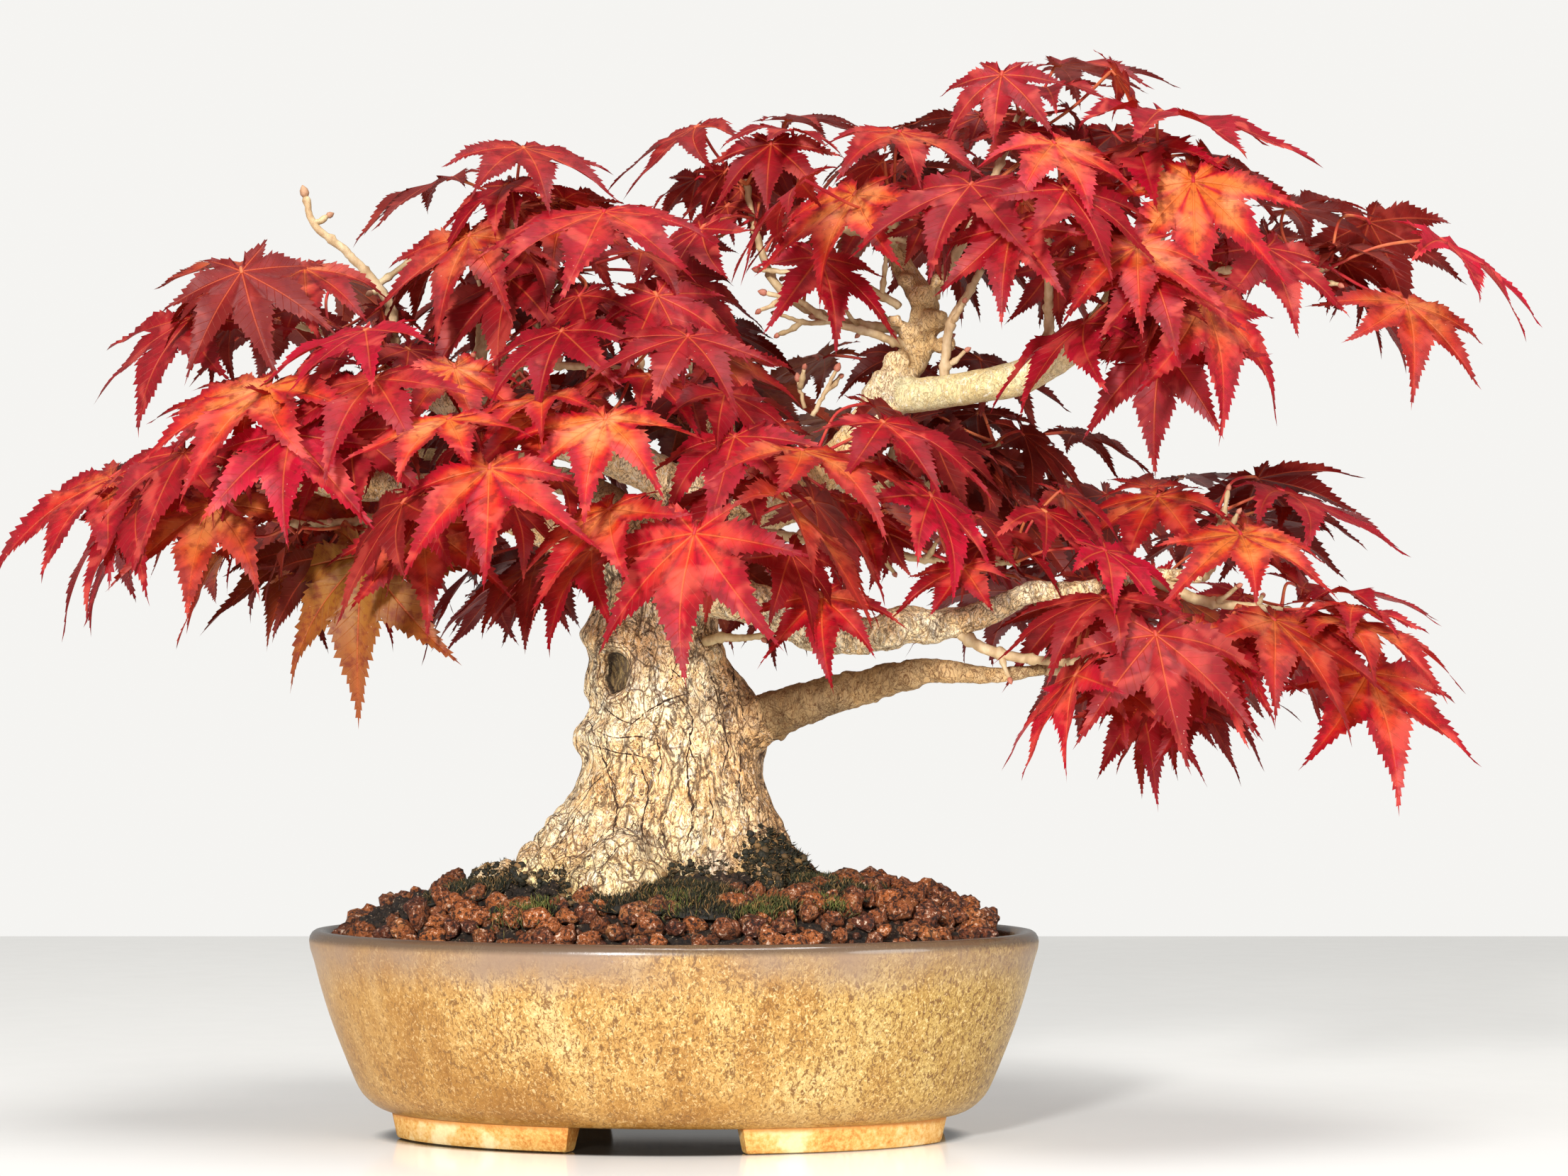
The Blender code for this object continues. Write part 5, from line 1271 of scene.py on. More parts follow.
def lobeWidth(along, start, startWidth, length, widestAt, widest):
    # Half-width of a lobe: from its notch out to its widest part, then in to a long thin tip.
    peak = widestAt * length
    if along <= peak:
        share = (along - start) / max(peak - start, 1e-6)
        return startWidth + (widest - startWidth) * math.sin(max(share, 0) * math.pi / 2) ** 1.2
    share = (along - peak) / (length - peak)
    taper = 0.72 * (1 - share) ** 1.75 + 0.28 * (1 - share)
    return widest * taper * (1 + 0.25 * share * (1 - share))


def halfLobeRows(lobe, notch):
    # Rows across one half of a lobe: the place on the rib, then the place and width at the margin.
    bearing, length, widestAt, widest, teeth = lobe
    notchBearing, notchReach = notch
    turn = math.radians(abs(notchBearing - bearing))
    start, startWidth = notchReach * math.cos(turn), notchReach * math.sin(turn)
    lean = leafShape["veinLean"]
    rows = []
    ribStart = max(start - lean * startWidth, 0.02)
    for i in range(leafShape["ribRows"]):
        share = i / leafShape["ribRows"]
        rows.append((ribStart * share, start * share, startWidth * share))
    rows.append((ribStart, start, startWidth))
    span = length * 0.95 - start
    pitch = span / teeth
    for i in range(teeth):
        size = leafShape["toothDepth"] * leafShape["toothSizes"][i % 5] * min(1, length * 1.3)
        size *= smoothStep(length, length * 0.62, start + pitch * i) * 0.75 + 0.25
        tipAlong = start + pitch * (i + leafShape["toothLean"])
        tipWidth = lobeWidth(tipAlong, start, startWidth, length, widestAt, widest)
        notchAlong = start + pitch * (i + leafShape["toothLean"] + 0.12)
        notchWidth = lobeWidth(notchAlong, start, startWidth, length, widestAt, widest)
        rows.append((tipAlong, tipAlong + 0.25 * pitch, tipWidth + size))
        rows.append((notchAlong, notchAlong + 0.02 * pitch, max(notchWidth - size * 0.45, 0.004)))
    rows.append((length, length, 0))
    fixed = []
    for number, (rib, along, width) in enumerate(rows):
        if number > leafShape["ribRows"]:
            rib = max(along - lean * width, fixed[-1][0] + 0.002)
            rib = min(rib, length)
        fixed.append((rib, along, width))
    return fixed


def leafPattern(lengthScales):
    # The flat leaf: each point's lobe, its place along and across that lobe, and the faces.
    lobes = []
    for k, (bearing, length, widestAt, widest, teeth) in enumerate(leafShape["lobes"]):
        for side in (1, -1) if bearing else (1,):
            lobes.append((bearing * side, length * lengthScales[k], widestAt, widest, teeth, k))
    numbers, lobeOf, along, across, margin = {}, [], [], [], []
    faces = []

    def number(lobeIndex, bearing, a, c, edge):
        turn = math.radians(bearing)
        u, v = a * math.cos(turn) - c * math.sin(turn), a * math.sin(turn) + c * math.cos(turn)
        key = (round(u, 4), round(v, 4))
        if key not in numbers:
            numbers[key] = len(lobeOf)
            lobeOf.append(lobeIndex)
            along.append(a)
            across.append(c)
            margin.append(edge)
        return numbers[key]

    for index, (bearing, length, widestAt, widest, teeth, k) in enumerate(lobes):
        outer = leafShape["notches"][k]
        inner = leafShape["notches"][k - 1] if k else leafShape["notches"][0]
        for side in (1, -1):
            away = (bearing >= 0) == (side > 0) or k == 0
            notch = outer if away else inner
            rows = halfLobeRows((abs(bearing), length, widestAt, widest, teeth), notch)
            grid = []
            for rib, edgeAlong, width in rows:
                grid.append(
                    [
                        number(index, bearing, rib + (edgeAlong - rib) * f, side * width * f, f)
                        for f in leafShape["columns"]
                    ]
                )
            for low, high in zip(grid, grid[1:]):
                for i in range(len(low) - 1):
                    corners = [low[i], low[i + 1], high[i + 1], high[i]]
                    if side < 0:
                        corners.reverse()
                    kept = [c for j, c in enumerate(corners) if c != corners[j - 1]]
                    if len(set(kept)) == len(kept) and len(kept) > 2:
                        faces.append(tuple(kept))
    return {
        "lobe": np.array(lobeOf),
        "along": np.array(along),
        "across": np.array(across),
        "margin": np.array(margin),
        "bearings": np.radians([lobe[0] for lobe in lobes]),
        "lengths": np.array([lobe[1] for lobe in lobes]),
        "faces": faces,
    }


def shapeBlade(pattern, leaf, dice):
    # The pattern's points in space for one leaf, and each point's place on the leaf.
    lobe = pattern["lobe"]
    count = len(pattern["bearings"])
    length = pattern["lengths"][lobe]
    share = pattern["along"] / length
    far = np.clip((share - 0.30) / 0.70, 0, 1)
    stretch = dice.uniform(0.90, 1.05, count)[lobe]
    turn = pattern["bearings"][lobe] + dice.normal(0, leafShape["tipTurn"], count)[lobe] * far**1.4
    twist = dice.normal(0, leafShape["tipTwist"], count)[lobe] * far
    fold = dice.uniform(*leafShape["fold"], count)[lobe] * np.clip(share * 3, 0, 1)
    dip = dice.uniform(*leafShape["tipDip"], count)[lobe]
    sag = dice.uniform(*leafShape["sag"])
    ripple = dice.uniform(0, math.tau, count)[lobe]
    along = pattern["along"] * (1 + (stretch - 1) * far)
    across = pattern["across"] * np.cos(twist)
    lift = pattern["across"] * np.sin(twist) + fold * np.abs(pattern["across"])
    lift -= dip * length * far**1.8
    lift += 0.013 * np.sin(share * 13 + ripple) * pattern["margin"] * np.clip(share * 2, 0, 1)
    u = along * np.cos(turn) - across * np.sin(turn)
    v = along * np.sin(turn) + across * np.cos(turn)
    h = lift - sag * (u * u + v * v)
    out = np.outer(u, leaf["forward"]) + np.outer(v, leaf["side"]) + np.outer(h, leaf["normal"])
    points = np.array(leaf["place"]) + out * leaf["size"]
    fromRib = np.abs(pattern["across"]) * leaf["size"] / mm
    return points, np.stack([share, fromRib, pattern["margin"]], axis=1)


def middleOf(corners):
    # The middle of some mesh corners, added up in their own order so that it never changes.
    places = [v.co for v in sorted(corners, key=lambda v: v.index)]
    return sum(places, Vector()) / len(places) if places else None


def readLeaves(nodeName):
    # The leaves of one CAD spray: where each blade starts, how it lies, its size and its stalk.
    shape = bmesh.new()
    shape.from_mesh(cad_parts[nodeName].data)
    bmesh.ops.remove_doubles(shape, verts=shape.verts, dist=0.02 * mm)
    shape.verts.index_update()
    nearby = {v: {e.other_vert(v) for e in v.link_edges} for v in shape.verts}
    hubs = [v for v in shape.verts if len(nearby[v]) >= leafShape["cadHubEdges"]]
    fall, closest = leafShape["cadFall"], leafShape["cadThickness"] * mm
    used, found = set(), []
    for top in hubs:
        others = [h for h in hubs if h is not top and h not in used]
        mates = [h for h in others if (h.co - top.co).length < closest]
        if top in used or not mates:
            continue
        under = min(mates, key=lambda h: (h.co - top.co).length)
        used |= {top, under}
        middle = (top.co + under.co) / 2
        rim = sorted(nearby[top] & nearby[under], key=lambda v: (v.co - middle).length)
        neck = {top, under, rim[0], rim[1]}
        tip = rim[-1].co - middle
        normal = (top.co - under.co).normalized()
        if tip.dot(normal) > 0:
            normal.negate()
        size = tip.length / math.hypot(1, fall)
        forward = (tip + normal * fall * size).normalized()
        # The stalk's bend is a ring of points close together; past it are the points at the twig.
        near = set().union(*(nearby[v] for v in neck)) - neck
        ring = {v for v in near if sum((o.co - v.co).length < 1.3 * mm for o in near) >= 3}
        base = set().union(*(nearby[v] for v in ring)) - ring - neck
        found.append(
            {
                "place": middle.copy(),
                "forward": forward,
                "normal": normal,
                "side": forward.cross(normal),
                "size": size,
                "bend": middleOf(ring),
                "root": middleOf(base),
            }
        )
    shape.free()
    return found


def addStalk(heap, leaf):
    # The leaf stalk, from the twig through its bend into the blade.
    place, forward = leaf["place"], leaf["forward"]
    root = leaf["root"] or place - forward * leafShape["stalkLength"] * mm
    bend = leaf["bend"] or (root + place) / 2
    route = (root, bend, place - forward * 1.2 * mm, place + forward * 0.6 * mm)
    path = smoothRoute([(p - potMiddle) / mm for p in route], 1.6)
    radii = []
    for i in range(len(path)):
        swell = 0.85 + 0.5 * math.exp(-i / 1.2) + 0.25 * (i / len(path)) ** 4
        radii.append(leafShape["stalkRadius"] * swell)
    heap.add(*tubeSkin(path, radii, 6))


def innerLeaf(leaf, dice):
    # A small late leaf from the same joint of the twig, turned inwards into the shade.
    root = leaf["root"] or leaf["place"] - leaf["forward"] * leafShape["stalkLength"] * mm
    angle = float(dice.uniform(0.9, 2.2)) * (1 if dice.random() < 0.5 else -1)
    turn = Matrix.Rotation(angle, 3, "Z")
    away = turn @ (leaf["place"] - root) * float(dice.uniform(0.45, 0.85))
    away.z -= float(dice.uniform(0, 7)) * mm
    tilt = Matrix.Rotation(float(dice.normal(0, 0.3)), 3, "X")
    axes = {name: (tilt @ turn @ leaf[name]).normalized() for name in ("forward", "side", "normal")}
    size = leaf["size"] * float(dice.uniform(0.50, 0.72))
    return {"place": root + away, "root": root, "bend": None, "size": size, "inner": True, **axes}


def makeSpray(nodeName, patterns, finish, dice):
    heap, heapMoods, leafMoods = Heap(), [], []
    leaves = readLeaves(nodeName)
    leaves += [innerLeaf(leaf, dice) for leaf in leaves if dice.random() < leafShape["innerShare"]]
    for leaf in leaves:
        warm, dark, vivid = leafMood(leaf, dice)
        if "inner" in leaf:
            # Painted shade: the small inner leaves are made darker and less orange.
            warm, dark = warm * 0.6, max(dark, 0.35)
        pattern = patterns[int(dice.integers(len(patterns)))]
        points, onLeaf = shapeBlade(pattern, leaf, dice)
        heap.add([tuple(p) for p in points], pattern["faces"])
        heapMoods.extend(onLeaf)
        leafMoods.extend([(warm, dark, vivid)] * len(points))
        before = len(heap.points)
        addStalk(heap, leaf)
        stalkPoints = len(heap.points) - before
        heapMoods.extend([(0.12, 0, -1)] * stalkPoints)  # a stalk's margin is below 0
        leafMoods.extend([(0.2, dark * 0.7, vivid)] * stalkPoints)
    moods = {"onLeaf": heapMoods, "leafMood": leafMoods}
    makePiece(nodeName + "_leaves", heap.points, heap.faces, finish, "red_leaf", (nodeName,), moods)
    return len(heap.faces)


moodPlaces = (  # x, z, how orange, how dark, how pink: leaves that stand out from their neighbours
    (-48.4, 180, 0.55, 0.0, 0.2),
    (-20, 193, 0.8, 0.0, 0.1),
    (8, 163, 0.35, 0.0, 0.2),
    (36, 185, 0.7, 0.25, 0.0),
    (72, 173, 0.15, 0.0, 0.8),
    (113, 162, 0.1, 0.0, 0.9),
    (118, 143, 0.2, 0.35, 0.2),
    (150, 162, 0.9, 0.15, 0.1),
    (135, 178, 0.6, 0.2, 0.2),
    (138, 256, 0.95, 0.0, 0.3),
    (47, 253, 0.8, 0.1, 0.1),
    (67, 277, 0.5, 0.3, 0.2),
    (-63, 252, 0.1, 0.7, 0.1),
    (-116, 235, 0.1, 0.65, 0.1),
    (-108, 203, 0.8, 0.1, 0.2),
    (-124, 171, 0.9, 0.35, 0.0),
    (-81, 158, 1.0, 1.0, 0.0),
    (-96, 160, 0.6, 0.95, 0.0),
    (181, 236, 0.15, 0.85, 0.0),
    (209, 243, 0.05, 0.0, 0.9),
    (-82, 218, 0.05, 0.0, 0.7),
    (-34, 152, 0.1, 0.85, 0.0),
)


def leafMood(leaf, dice):
    # How orange, how dark and how pink a leaf is; deep in the crown and at the back they are painted
    # darker, as painted shade.
    x, y, z = (leaf["place"] - potMiddle) / mm
    warm, dark, vivid = dice.beta(1.2, 2.5), 0.6 * dice.beta(1.2, 2.6), dice.beta(1.2, 2.2)
    # Painted shade: leaves towards the back are made darker.
    if y > -12:
        dark = max(dark, min(0.85, 0.30 + 0.014 * (y + 12)))
    if y < 0:
        placeX, placeZ, *mood = min(moodPlaces, key=lambda m: math.hypot(m[0] - x, m[1] - z))
        if math.hypot(placeX - x, placeZ - z) < leafShape["moodReach"]:
            warm, dark, vivid = mood
    return warm, dark, vivid


def leafFinish():
    finish = Finish("redMapleLeaf")
    share, across, margin = finish.mood("onLeaf")
    warm, dark, vivid = finish.mood("leafMood")
    stalk = margin.step(-0.3, -0.9)
    mottle = finish.noise(300, 4, 0.62)
    blotch = finish.noise(85, 3, 0.55)
    # Orange spreads from the middle of the leaf; margins and tips stay crimson.
    heart = (1.12 - 1.20 * share - 0.80 * margin * margin + 0.7 * (blotch - 0.5)).clamp()
    orange = (heart * (0.38 + 0.95 * warm) + 0.40 * (warm - 0.50)).clamp()
    colour = finish.ramp(
        orange,
        (
            (0.0, (0.250, 0.000, 0.010)),
            (0.30, (0.410, 0.003, 0.014)),
            (0.62, (0.560, 0.028, 0.010)),
            (1.0, (0.680, 0.150, 0.022)),
        ),
    )
    pinkness = vivid.step(0.35, 1.0) * (0.35 + 0.65 * margin)
    colour = finish.mix(colour, (0.640, 0.004, 0.040), pinkness * 0.6)
    # Painted sheen: a pale orange-pink towards the middle of the warmer leaves.
    paintedPeachSheen = share.step(0.62, 0.10) * blotch.step(0.44, 0.62) * warm.step(0.15, 0.80)
    colour = finish.mix(colour, (0.900, 0.360, 0.150), paintedPeachSheen * 0.55)
    # The dark mood mixes towards deep maroon-brown: partly the leaf's own tone, partly painted shade.
    deep = finish.mix((0.078, 0.011, 0.003), (0.190, 0.085, 0.010), warm.step(0.45, 1.0))
    colour = finish.mix(colour, deep, (dark * (1.02 - 0.40 * share * warm)).clamp())
    colour = finish.mix(colour, (0.110, 0.002, 0.004), mottle.step(0.46, 0.66) * 0.62)
    # Painted highlight: brighter red patches on the leaves that are not painted dark.
    paintedRedHighlight = finish.noise(110, 2, 0.5, None, 0.6).step(0.53, 0.68) * (1 - dark)
    colour = finish.mix(colour, (0.860, 0.130, 0.085), paintedRedHighlight * 0.38)
    # Veins: one rib along each lobe, and side ribs that lean towards the tip.
    rib = across.step(0.38, 0.10) * share.step(0.95, 0.25)
    lengthwise = share * 12.5 - across * 0.34
    side = abs((lengthwise * math.pi).sine()).step(0.16, 0.0) * (1 - margin * 0.7) * (1 - stalk)
    ribColour = finish.mix((0.780, 0.170, 0.040), (0.400, 0.015, 0.014), dark * 0.7)
    colour = finish.mix(colour, ribColour, rib * 0.46 * (1 - stalk))
    colour = finish.mix(colour, ribColour, side * 0.18)
    # Pale specks: partly the leaf's own freckling, partly painted glints.
    frecklesAndGlints = finish.cells(520).step(0.10, 0.03) * finish.noise(70, 1).step(0.50, 0.62)
    colour = finish.mix(colour, (0.90, 0.62, 0.45), frecklesAndGlints * 0.45 * (1 - stalk))
    stalkColour = finish.mix((0.50, 0.020, 0.030), (0.66, 0.20, 0.07), blotch.step(0.35, 0.7))
    colour = finish.mix(colour, stalkColour, stalk)
    relief = mottle * 0.35 - rib * 0.8 - side * 0.5 + blotch * 0.3
    return finish.surface(
        {
            "Base Color": colour,
            "Roughness": 0.40 + 0.22 * mottle,
            "Specular IOR Level": 0.26,
            "Normal": finish.bump(relief, 0.55, 0.5),
        },
        (0.740, 0.028, 0.007),
        0.16 - 0.135 * dark,
    )


def makeLeaves():
    dice = np.random.default_rng(leafShape["seed"])
    patterns = [
        leafPattern((1.0, 1.0, 1.0, 1.0)),
        leafPattern((1.06, 0.95, 1.08, 0.85)),
        leafPattern((0.95, 1.04, 0.90, 1.10)),
    ]
    finish = leafFinish()
    total = 0
    for nodeName in twigs["routes"]:
        total += makeSpray(nodeName, patterns, finish, dice)
    print("leaves", total, "faces")


makeLeaves()


# Soil.

soil = {
    "crown": 69,
    "edge": 52.5,
    "halfLength": 93.5,
    "halfDepth": 61.5,
    "wall": ((17.142, 20.5), (12.4, 31), (8.333, 45)),  # inset from the rim, and height
    "trunkFoot": (-7.5, 0, 41, 34),  # middle and half-axes where the trunk meets the soil
    "granuleRadius": (2.3, 4.1),
    "granules": 480,
    "gapGranules": 900,
    "gapRadius": (1.2, 2.1),
    "crumbs": 1500,
    "crumbRadius": (0.6, 1.7),
    "bareFoot": 0.98,  # granules lie outside this many trunk feet
    "seed": 3,
}


def soilHeight(x, y):
    share = min(math.hypot(x / soil["halfLength"], y / soil["halfDepth"]), 1)
    return soil["crown"] - (soil["crown"] - soil["edge"]) * share**4.5


def fromTrunk(x, y):
    # 1 at the trunk's foot, more outside it.
    middleX, middleY, halfWidth, halfDepth = soil["trunkFoot"]
    return math.hypot((x - middleX) / halfWidth, (y - middleY) / halfDepth)


def toeShare(x, y):
    # Where the pale middle root comes forward and nothing covers it.
    return smoothStep(15, 9, math.hypot(x + 14, (y + 40) * 0.8))


def humusShare(x, y):
    # Where black humus covers the granules, in patches round the trunk.
    ragged = 0.16 * noise.noise((x / 13, y / 13, 5)) + 0.07 * noise.noise((x / 4, y / 4, 9))
    toe = 0.5 * smoothStep(13, 5, math.hypot(x + 11, (y + 38) * 0.8))
    foot = smoothStep(1.50, 1.26, fromTrunk(x, y) + ragged + toe)
    corner = smoothStep(20, 9, math.hypot(x + 72, y + 12) + 40 * ragged)
    return max(foot, corner)


def lumpShapes(count, detail, dice, rough, facets=0):
    # Irregular pebbles of radius 1, to be turned and scaled.
    shapes = []
    for k in range(count):
        work = bmesh.new()
        bmesh.ops.create_icosphere(work, subdivisions=detail, radius=1)
        squash = Vector((dice.uniform(0.82, 1.12), dice.uniform(0.82, 1.12), dice.uniform(0.7, 1.0)))
        cuts = []
        for _ in range(facets):
            cut = Vector((dice.gauss(0, 1), dice.gauss(0, 1), dice.gauss(0, 1))).normalized()
            cuts.append((cut, dice.uniform(0.62, 0.88)))
        for v in work.verts:
            place = v.co.copy()
            big = noise.noise(place * 1.1 + Vector((k * 7.3, 0, 0)))
            small = noise.noise(place * 2.6 + Vector((0, k * 5.1, 0)))
            tiny = noise.noise(place * 6 + Vector((0, 0, k * 3.7)))
            reach = 1 + rough * (0.55 * big + 0.35 * small + 0.12 * tiny)
            for cut, level in cuts:
                out = place.dot(cut)
                if out * reach > level:
                    reach = level / out
            v.co = Vector(a * b for a, b in zip(place * reach, squash))
        work.verts.ensure_lookup_table()
        faces = [[v.index for v in f.verts] for f in work.faces]
        shapes.append(([v.co.copy() for v in work.verts], faces))
        work.free()
    return shapes


def addLump(heap, shape, place, radius, dice, mood=None):
    roll = Matrix.Rotation(dice.uniform(0, math.tau), 3, "X")
    turn = roll @ Matrix.Rotation(dice.uniform(0, math.tau), 3, "Z")
    points, faces = shape
    heap.add([place + turn @ p * (radius * mm) for p in points], faces, mood)


def granuleFinish():
    finish = Finish("clayGranules")
    tint, light, humusAndShade = finish.mood("grainMood")
    pits = finish.noise(820, 5, 0.75)
    worn = finish.noise(300, 3)
    colour = finish.mix((0.150, 0.030, 0.007), (0.460, 0.120, 0.020), tint)
    colour = finish.mix(colour, (0.600, 0.240, 0.065), light * worn.step(0.45, 0.70) * 0.8)
    # Painted shade: near-black down in the pits.
    colour = finish.mix(colour, (0.010, 0.003, 0.002), pits.step(0.51, 0.43) * 0.95)
    # Painted highlight: pale glints on the high points.
    colour = finish.mix(colour, (1.0, 0.740, 0.540), pits.step(0.57, 0.64) * 0.85)
    # Darker under the humus round the trunk, and on the sunk granules in the gaps as painted shade.
    colour = finish.mix(colour, (0.022, 0.013, 0.009), humusAndShade)
    normal = finish.bump(pits, 1.0, 1.1)
    return finish.surface({"Base Color": colour, "Roughness": 0.36 + 0.30 * worn, "Normal": normal})


def humusAndGapShadeFinish():
    finish = Finish("blackHumusAndGapShade")
    crumbs = finish.noise(900, 5, 0.72)
    patches = finish.noise(90, 3)
    colour = finish.mix((0.006, 0.004, 0.003), (0.060, 0.034, 0.016), crumbs.step(0.35, 0.75))
    reddish = patches.step(0.55, 0.72) * crumbs.step(0.45, 0.7)
    colour = finish.mix(colour, (0.160, 0.060, 0.024), reddish)
    # Painted glints: tiny pale flecks on the black.
    colour = finish.mix(colour, (0.900, 0.680, 0.440), crumbs.step(0.60, 0.68) * 0.75)
    normal = finish.bump(crumbs, 1.0, 1.0)
    return finish.surface({"Base Color": colour, "Roughness": 0.45 + 0.4 * patches, "Normal": normal})


def makeSoilBed(finish):
    # The bed that shows between the granules, filling the pot down to the pumice: black humus round
    # the trunk, and elsewhere a near-black sheet of painted shade in the gaps.
    count, steps = 128, 44
    rings = [ovalRing(inset, z, count) for inset, z in soil["wall"]]
    for level in range(steps):
        share = 1 - level / steps
        ring = []
        for i in range(count):
            angle = math.tau * i / count
            x = soil["halfLength"] * share * math.cos(angle)
            y = soil["halfDepth"] * share * math.sin(angle)
            rough = 0.7 * noise.noise((x / 3, y / 3, 0)) + 0.5 * noise.noise((x / 1.2, y / 1.2, 4))
            sunk = 1.7 * (1 - humusShare(x, y)) + 0.2
            ring.append(alongPot(x, y, soilHeight(x, y) - sunk + rough))
        rings.append(ring)
    makePiece("soil_bed", *skinOver(rings), finish, "clay_granules", ("soil",), smooth=80)


def scatter(dice, wanted, spacing, allowed):
    # Places on the soil at least a spacing apart.
    kept, grid = [], {}
    for _ in range(wanted * 30):
        if len(kept) >= wanted:
            break
        angle, reach = dice.uniform(0, math.tau), math.sqrt(dice.random())
        x = (soil["halfLength"] - 1.5) * reach * math.cos(angle)
        y = (soil["halfDepth"] - 1.5) * reach * math.sin(angle)
        if not allowed(x, y):
            continue
        cell = (int(x // spacing), int(y // spacing))
        around = [grid.get((cell[0] + i, cell[1] + j), ()) for i in (-1, 0, 1) for j in (-1, 0, 1)]
        if any(math.hypot(x - px, y - py) < spacing for group in around for px, py in group):
            continue
        grid.setdefault(cell, []).append((x, y))
        kept.append((x, y))
    return kept


def makeGranules(finish):
    dice = random.Random(soil["seed"])
    fineShapes = lumpShapes(11, 3, dice, 0.75, 7)
    plainShapes = lumpShapes(9, 2, dice, 0.75, 5)
    heap = Heap()

    def besideTrunk(x, y):
        return fromTrunk(x, y) > soil["bareFoot"]

    def granulesLie(x, y):
        return -89 < x < 86 and besideTrunk(x, y) and humusShare(x, y) < 0.7

    top = scatter(dice, soil["granules"], 4.7, granulesLie)
    for x, y in top:
        radius = dice.uniform(*soil["granuleRadius"])
        place = alongPot(x, y, soilHeight(x, y) + radius * 0.3 + dice.uniform(-1.1, 0.9))
        mood = (dice.random(), dice.random() ** 2, 0.55 * humusShare(x, y))
        addLump(heap, dice.choice(fineShapes), place, radius, dice, mood)
    gaps = scatter(dice, soil["gapGranules"], 3.0, besideTrunk)
    for x, y in gaps:
        radius = dice.uniform(*soil["gapRadius"])
        place = alongPot(x, y, soilHeight(x, y) - 1.9 + dice.uniform(-0.8, 0.6))
        # Painted shade: the sunk granules in the gaps are made darker.
        mood = (dice.random(), dice.random() ** 2, 0.45 + 0.5 * humusShare(x, y))
        addLump(heap, dice.choice(plainShapes), place, radius, dice, mood)
    moods = {"grainMood": heap.moods}
    makePiece("soil_granules", heap.points, heap.faces, finish, "clay_granules", moods=moods)
    print("granules", len(top) + len(gaps), len(heap.faces), "faces")


def makeCrumbs(finish):
    # Small black crumbs of humus round the foot of the trunk.
    dice = random.Random(soil["seed"] + 1)
    shapes = lumpShapes(6, 2, dice, 0.7)
    heap = Heap()

    def humusLies(x, y):
        return fromTrunk(x, y) > 0.86 and dice.random() < humusShare(x, y)

    for x, y in scatter(dice, soil["crumbs"], 1.3, humusLies):
        radius = dice.uniform(*soil["crumbRadius"])
        heaped = 2.2 * smoothStep(1.30, 0.95, fromTrunk(x, y)) * (1 - toeShare(x, y))
        place = alongPot(x, y, soilHeight(x, y) + heaped + dice.uniform(-0.6, 0.7))
        addLump(heap, dice.choice(shapes), place, radius, dice)
    makePiece("soil_humus_crumbs", heap.points, heap.faces, finish, "clay_granules")


# One near-black finish for the humus crumbs and for the soil bed, whose gaps between granules are
# painted shade.
granules, humusAndGapShade = granuleFinish(), humusAndGapShadeFinish()
makeSoilBed(humusAndGapShade)
makeGranules(granules)
makeCrumbs(humusAndGapShade)
print("soil")


# Moss.

moss = {
    "pads": {
        "moss_front": {"blades": 5200, "length": (0.9, 2.8), "green": 0.11},
        "moss_left": {"blades": 1700, "length": (0.8, 2.2), "green": 0.14},
        "moss_right": {"blades": 2000, "length": (0.8, 2.3), "green": 0.22},
        "moss_back": {"blades": 3000, "length": (0.9, 2.4), "green": 0.40},
    },
    "tufts": (  # x, y, reach, blades, length, green
        (5, -47, 7.5, 680, 4.2, 1.0),
        (25, -47, 8, 420, 3.2, 0.9),
        (45, -38, 5, 260, 3.4, 0.95),
        (-34, -46, 7, 420, 3.2, 0.9),
        (8, -39, 6, 300, 3.4, 0.6),
        (33, -42, 6, 260, 2.8, 0.5),
    ),
    "climb": {"middle": (29, -19, 75), "reach": 12, "lumps": 640, "blades": 3300},
    "trunkLength": (0.7, 1.9),
    "footLumps": 1120,
    "footBlades": 4200,
    "soilLine": 65,
    "padBladeWidth": 0.16,
    "bladeWidth": 0.17,
    "seed": 9,
}


def addBlade(heap, place, up, length, width, dice, mood):
    lean = Vector((dice.gauss(0, 0.45), dice.gauss(0, 0.45), dice.gauss(0, 0.25)))
    direction = (up + lean).normalized()
    across = direction.orthogonal().normalized()
    across.rotate(Matrix.Rotation(dice.uniform(0, math.tau), 3, direction))
    over = direction.cross(across)
    bend = across * dice.gauss(0, 0.25) * length
    spokes = [across * math.cos(a) + over * math.sin(a) for a in (0, 2.1, 4.2)]
    foot = [place + spoke * width * mm for spoke in spokes]
    waist = place + direction * (0.55 * length * mm) + bend * 0.35 * mm
    ring = [waist + spoke * width * 0.75 * mm for spoke in spokes]
    tip = place + direction * (length * mm) + bend * mm
    faces = [(0, 1, 4, 3), (1, 2, 5, 4), (2, 0, 3, 5), (3, 4, 6), (4, 5, 6), (5, 3, 6), (2, 1, 0)]
    moods = [(*mood, 0)] * 3 + [(*mood, 0.5)] * 3 + [(*mood, 1)]
    heap.add(foot + ring + [tip], faces, moods)


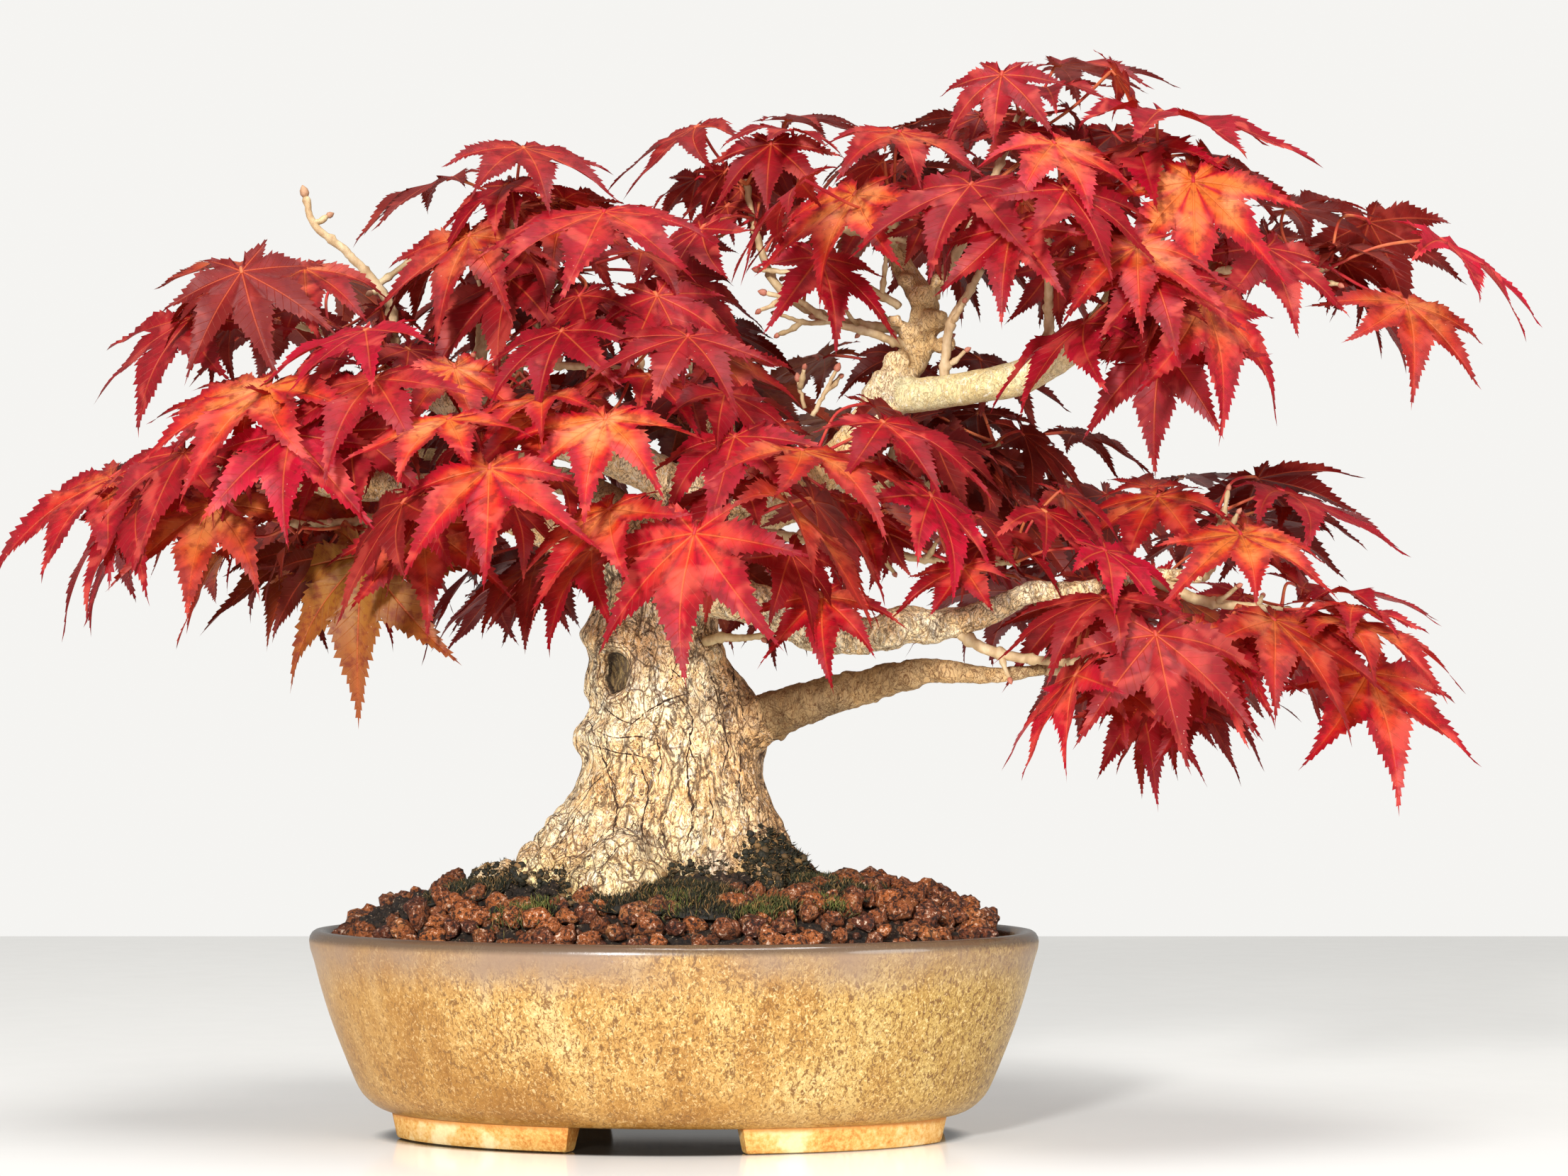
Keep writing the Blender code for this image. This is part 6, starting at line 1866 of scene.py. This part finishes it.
def mossFinish():
    finish = Finish("mossBlades")
    green, odd, tip = finish.mood("mossMood")
    grain = finish.noise(1300, 3)
    patches = finish.noise(160, 2)
    dark = finish.mix((0.004, 0.003, 0.002), (0.040, 0.026, 0.010), grain.step(0.4, 0.8))
    fresh = finish.mix((0.060, 0.085, 0.014), (0.270, 0.300, 0.050), tip * (0.5 + 0.5 * odd))
    colour = finish.mix(dark, fresh, (green * (0.4 + 1.1 * patches) * (0.35 + 0.65 * tip)).clamp())
    colour = finish.mix(colour, (0.480, 0.250, 0.080), odd.step(0.72, 0.94) * tip)
    normal = finish.bump(grain, 0.4, 0.3)
    return finish.surface({"Base Color": colour, "Roughness": 0.62 + 0.25 * grain, "Normal": normal})


def sculptPad(name):
    # The CAD cushion as a fine lumpy skin: its points and faces.
    work = bmesh.new()
    work.from_mesh(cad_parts[name].data)
    bmesh.ops.remove_doubles(work, verts=work.verts, dist=0.02 * mm)
    bmesh.ops.triangulate(work, faces=work.faces)
    for _ in range(3):
        long = [e for e in work.edges if e.calc_length() > 1.6 * mm]
        bmesh.ops.subdivide_edges(work, edges=long, cuts=1, use_grid_fill=True)
        bmesh.ops.triangulate(work, faces=work.faces)
    work.normal_update()
    for v in work.verts:
        x, y, z = (v.co - potMiddle) / mm
        lumps = 0.9 * noise.noise((x / 2.6, y / 2.6, z / 2.6)) + 0.5 * noise.noise((x, y, z))
        v.co += v.normal * lumps * mm
    work.verts.ensure_lookup_table()
    points = [v.co.copy() for v in work.verts]
    faces = [[v.index for v in f.verts] for f in work.faces]
    work.free()
    return points, faces


def makeMoss(finish):
    dice = random.Random(moss["seed"])
    for name, spec in moss["pads"].items():
        heap = Heap()
        points, faces = sculptPad(name)
        heap.add(points, faces, [(spec["green"] * 0.3, 0.5, 0.1)] * len(points))
        ground = BVHTree.FromPolygons(points, faces)
        low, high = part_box(name)
        for _ in range(spec["blades"]):
            x, y = dice.uniform(low.x, high.x), dice.uniform(low.y, high.y)
            hit, normal, _, _ = ground.ray_cast(Vector((x, y, high.z + 0.01)), Vector((0, 0, -1)))
            if hit is None:
                continue
            length = dice.uniform(*spec["length"])
            up = (normal + Vector((0, 0, 1))).normalized()
            width = moss["padBladeWidth"]
            addBlade(heap, hit, up, length, width, dice, (spec["green"], dice.random()))
        moods = {"mossMood": heap.moods}
        makePiece(name + "_cushion", heap.points, heap.faces, finish, "moss", (name,), moods, 70)


def mossLine(place):
    # The height to which dark moss climbs the foot of the trunk.
    x, y, _ = place
    ragged = 2.2 * noise.noise((x / 5, y / 5, 3)) + 1.0 * noise.noise((x / 1.7, y / 1.7, 8))
    if y > 0:
        return 71 + ragged
    right = 5.0 * smoothStep(-4, 3, x)
    left = 3.2 * smoothStep(-24, -29, x) * smoothStep(-58, -48, x)
    toe = 6.5 * smoothStep(-28, -24, x) * smoothStep(-2, -7, x)
    return 71 + right + left - toe + ragged


def makeTufts(finish):
    # Taller green tufts on the soil in front, and dark moss up the trunk's right foot.
    dice = random.Random(moss["seed"] + 1)
    width = moss["bladeWidth"]
    heap = Heap()
    for x, y, reach, blades, length, green in moss["tufts"]:
        for _ in range(blades):
            px, py = dice.gauss(x, reach * 0.5), dice.gauss(y, reach * 0.32)
            place = alongPot(px, py, soilHeight(px, py) + 1.2)
            size = length * dice.uniform(0.45, 1)
            addBlade(heap, place, Vector((0, 0, 1)), size, width, dice, (green, dice.random()))
    moods = {"mossMood": heap.moods}
    makePiece("moss_tufts", heap.points, heap.faces, finish, "moss", moods=moods)
    heap = Heap()
    mesh = treeWood.data
    middle = fromPot(*moss["climb"]["middle"])
    reach = moss["climb"]["reach"] * mm
    near = [v for v in mesh.vertices if (v.co - middle).length < reach]
    lumps = lumpShapes(5, 2, dice, 0.5)
    for _ in range(moss["climb"]["lumps"]):
        v = dice.choice(near)
        away = (v.co - middle).length / reach
        if dice.random() > away**2:
            mood = (0.08, dice.random(), dice.uniform(0.1, 0.6))
            addLump(heap, dice.choice(lumps), v.co.copy(), dice.uniform(0.5, 1.3), dice, mood)
    ground = moss["soilLine"] * mm
    foot = [v for v in mesh.vertices if ground < v.co.z < mossLine((v.co - potMiddle) / mm) * mm]
    for _ in range(moss["footLumps"]):
        spot = dice.choice(foot).co
        mood = (0.08, dice.random(), dice.uniform(0.1, 0.6))
        addLump(heap, dice.choice(lumps), spot.copy(), dice.uniform(0.45, 1.15), dice, mood)
    for group, blades in ((near, moss["climb"]["blades"]), (foot, moss["footBlades"])):
        for _ in range(blades):
            v = dice.choice(group)
            away = (v.co - middle).length / reach
            if group is near and dice.random() < away**3:
                continue
            jitter = Vector((dice.gauss(0, 0.4), dice.gauss(0, 0.4), dice.gauss(0, 0.4))) * mm
            length = dice.uniform(*moss["trunkLength"])
            addBlade(heap, v.co + jitter, v.normal, length, width, dice, (0.12, dice.random()))
    moods = {"mossMood": heap.moods}
    makePiece("moss_on_trunk", heap.points, heap.faces, finish, "moss", moods=moods)


mossLook = mossFinish()
makeMoss(mossLook)
makeTufts(mossLook)
print("moss")
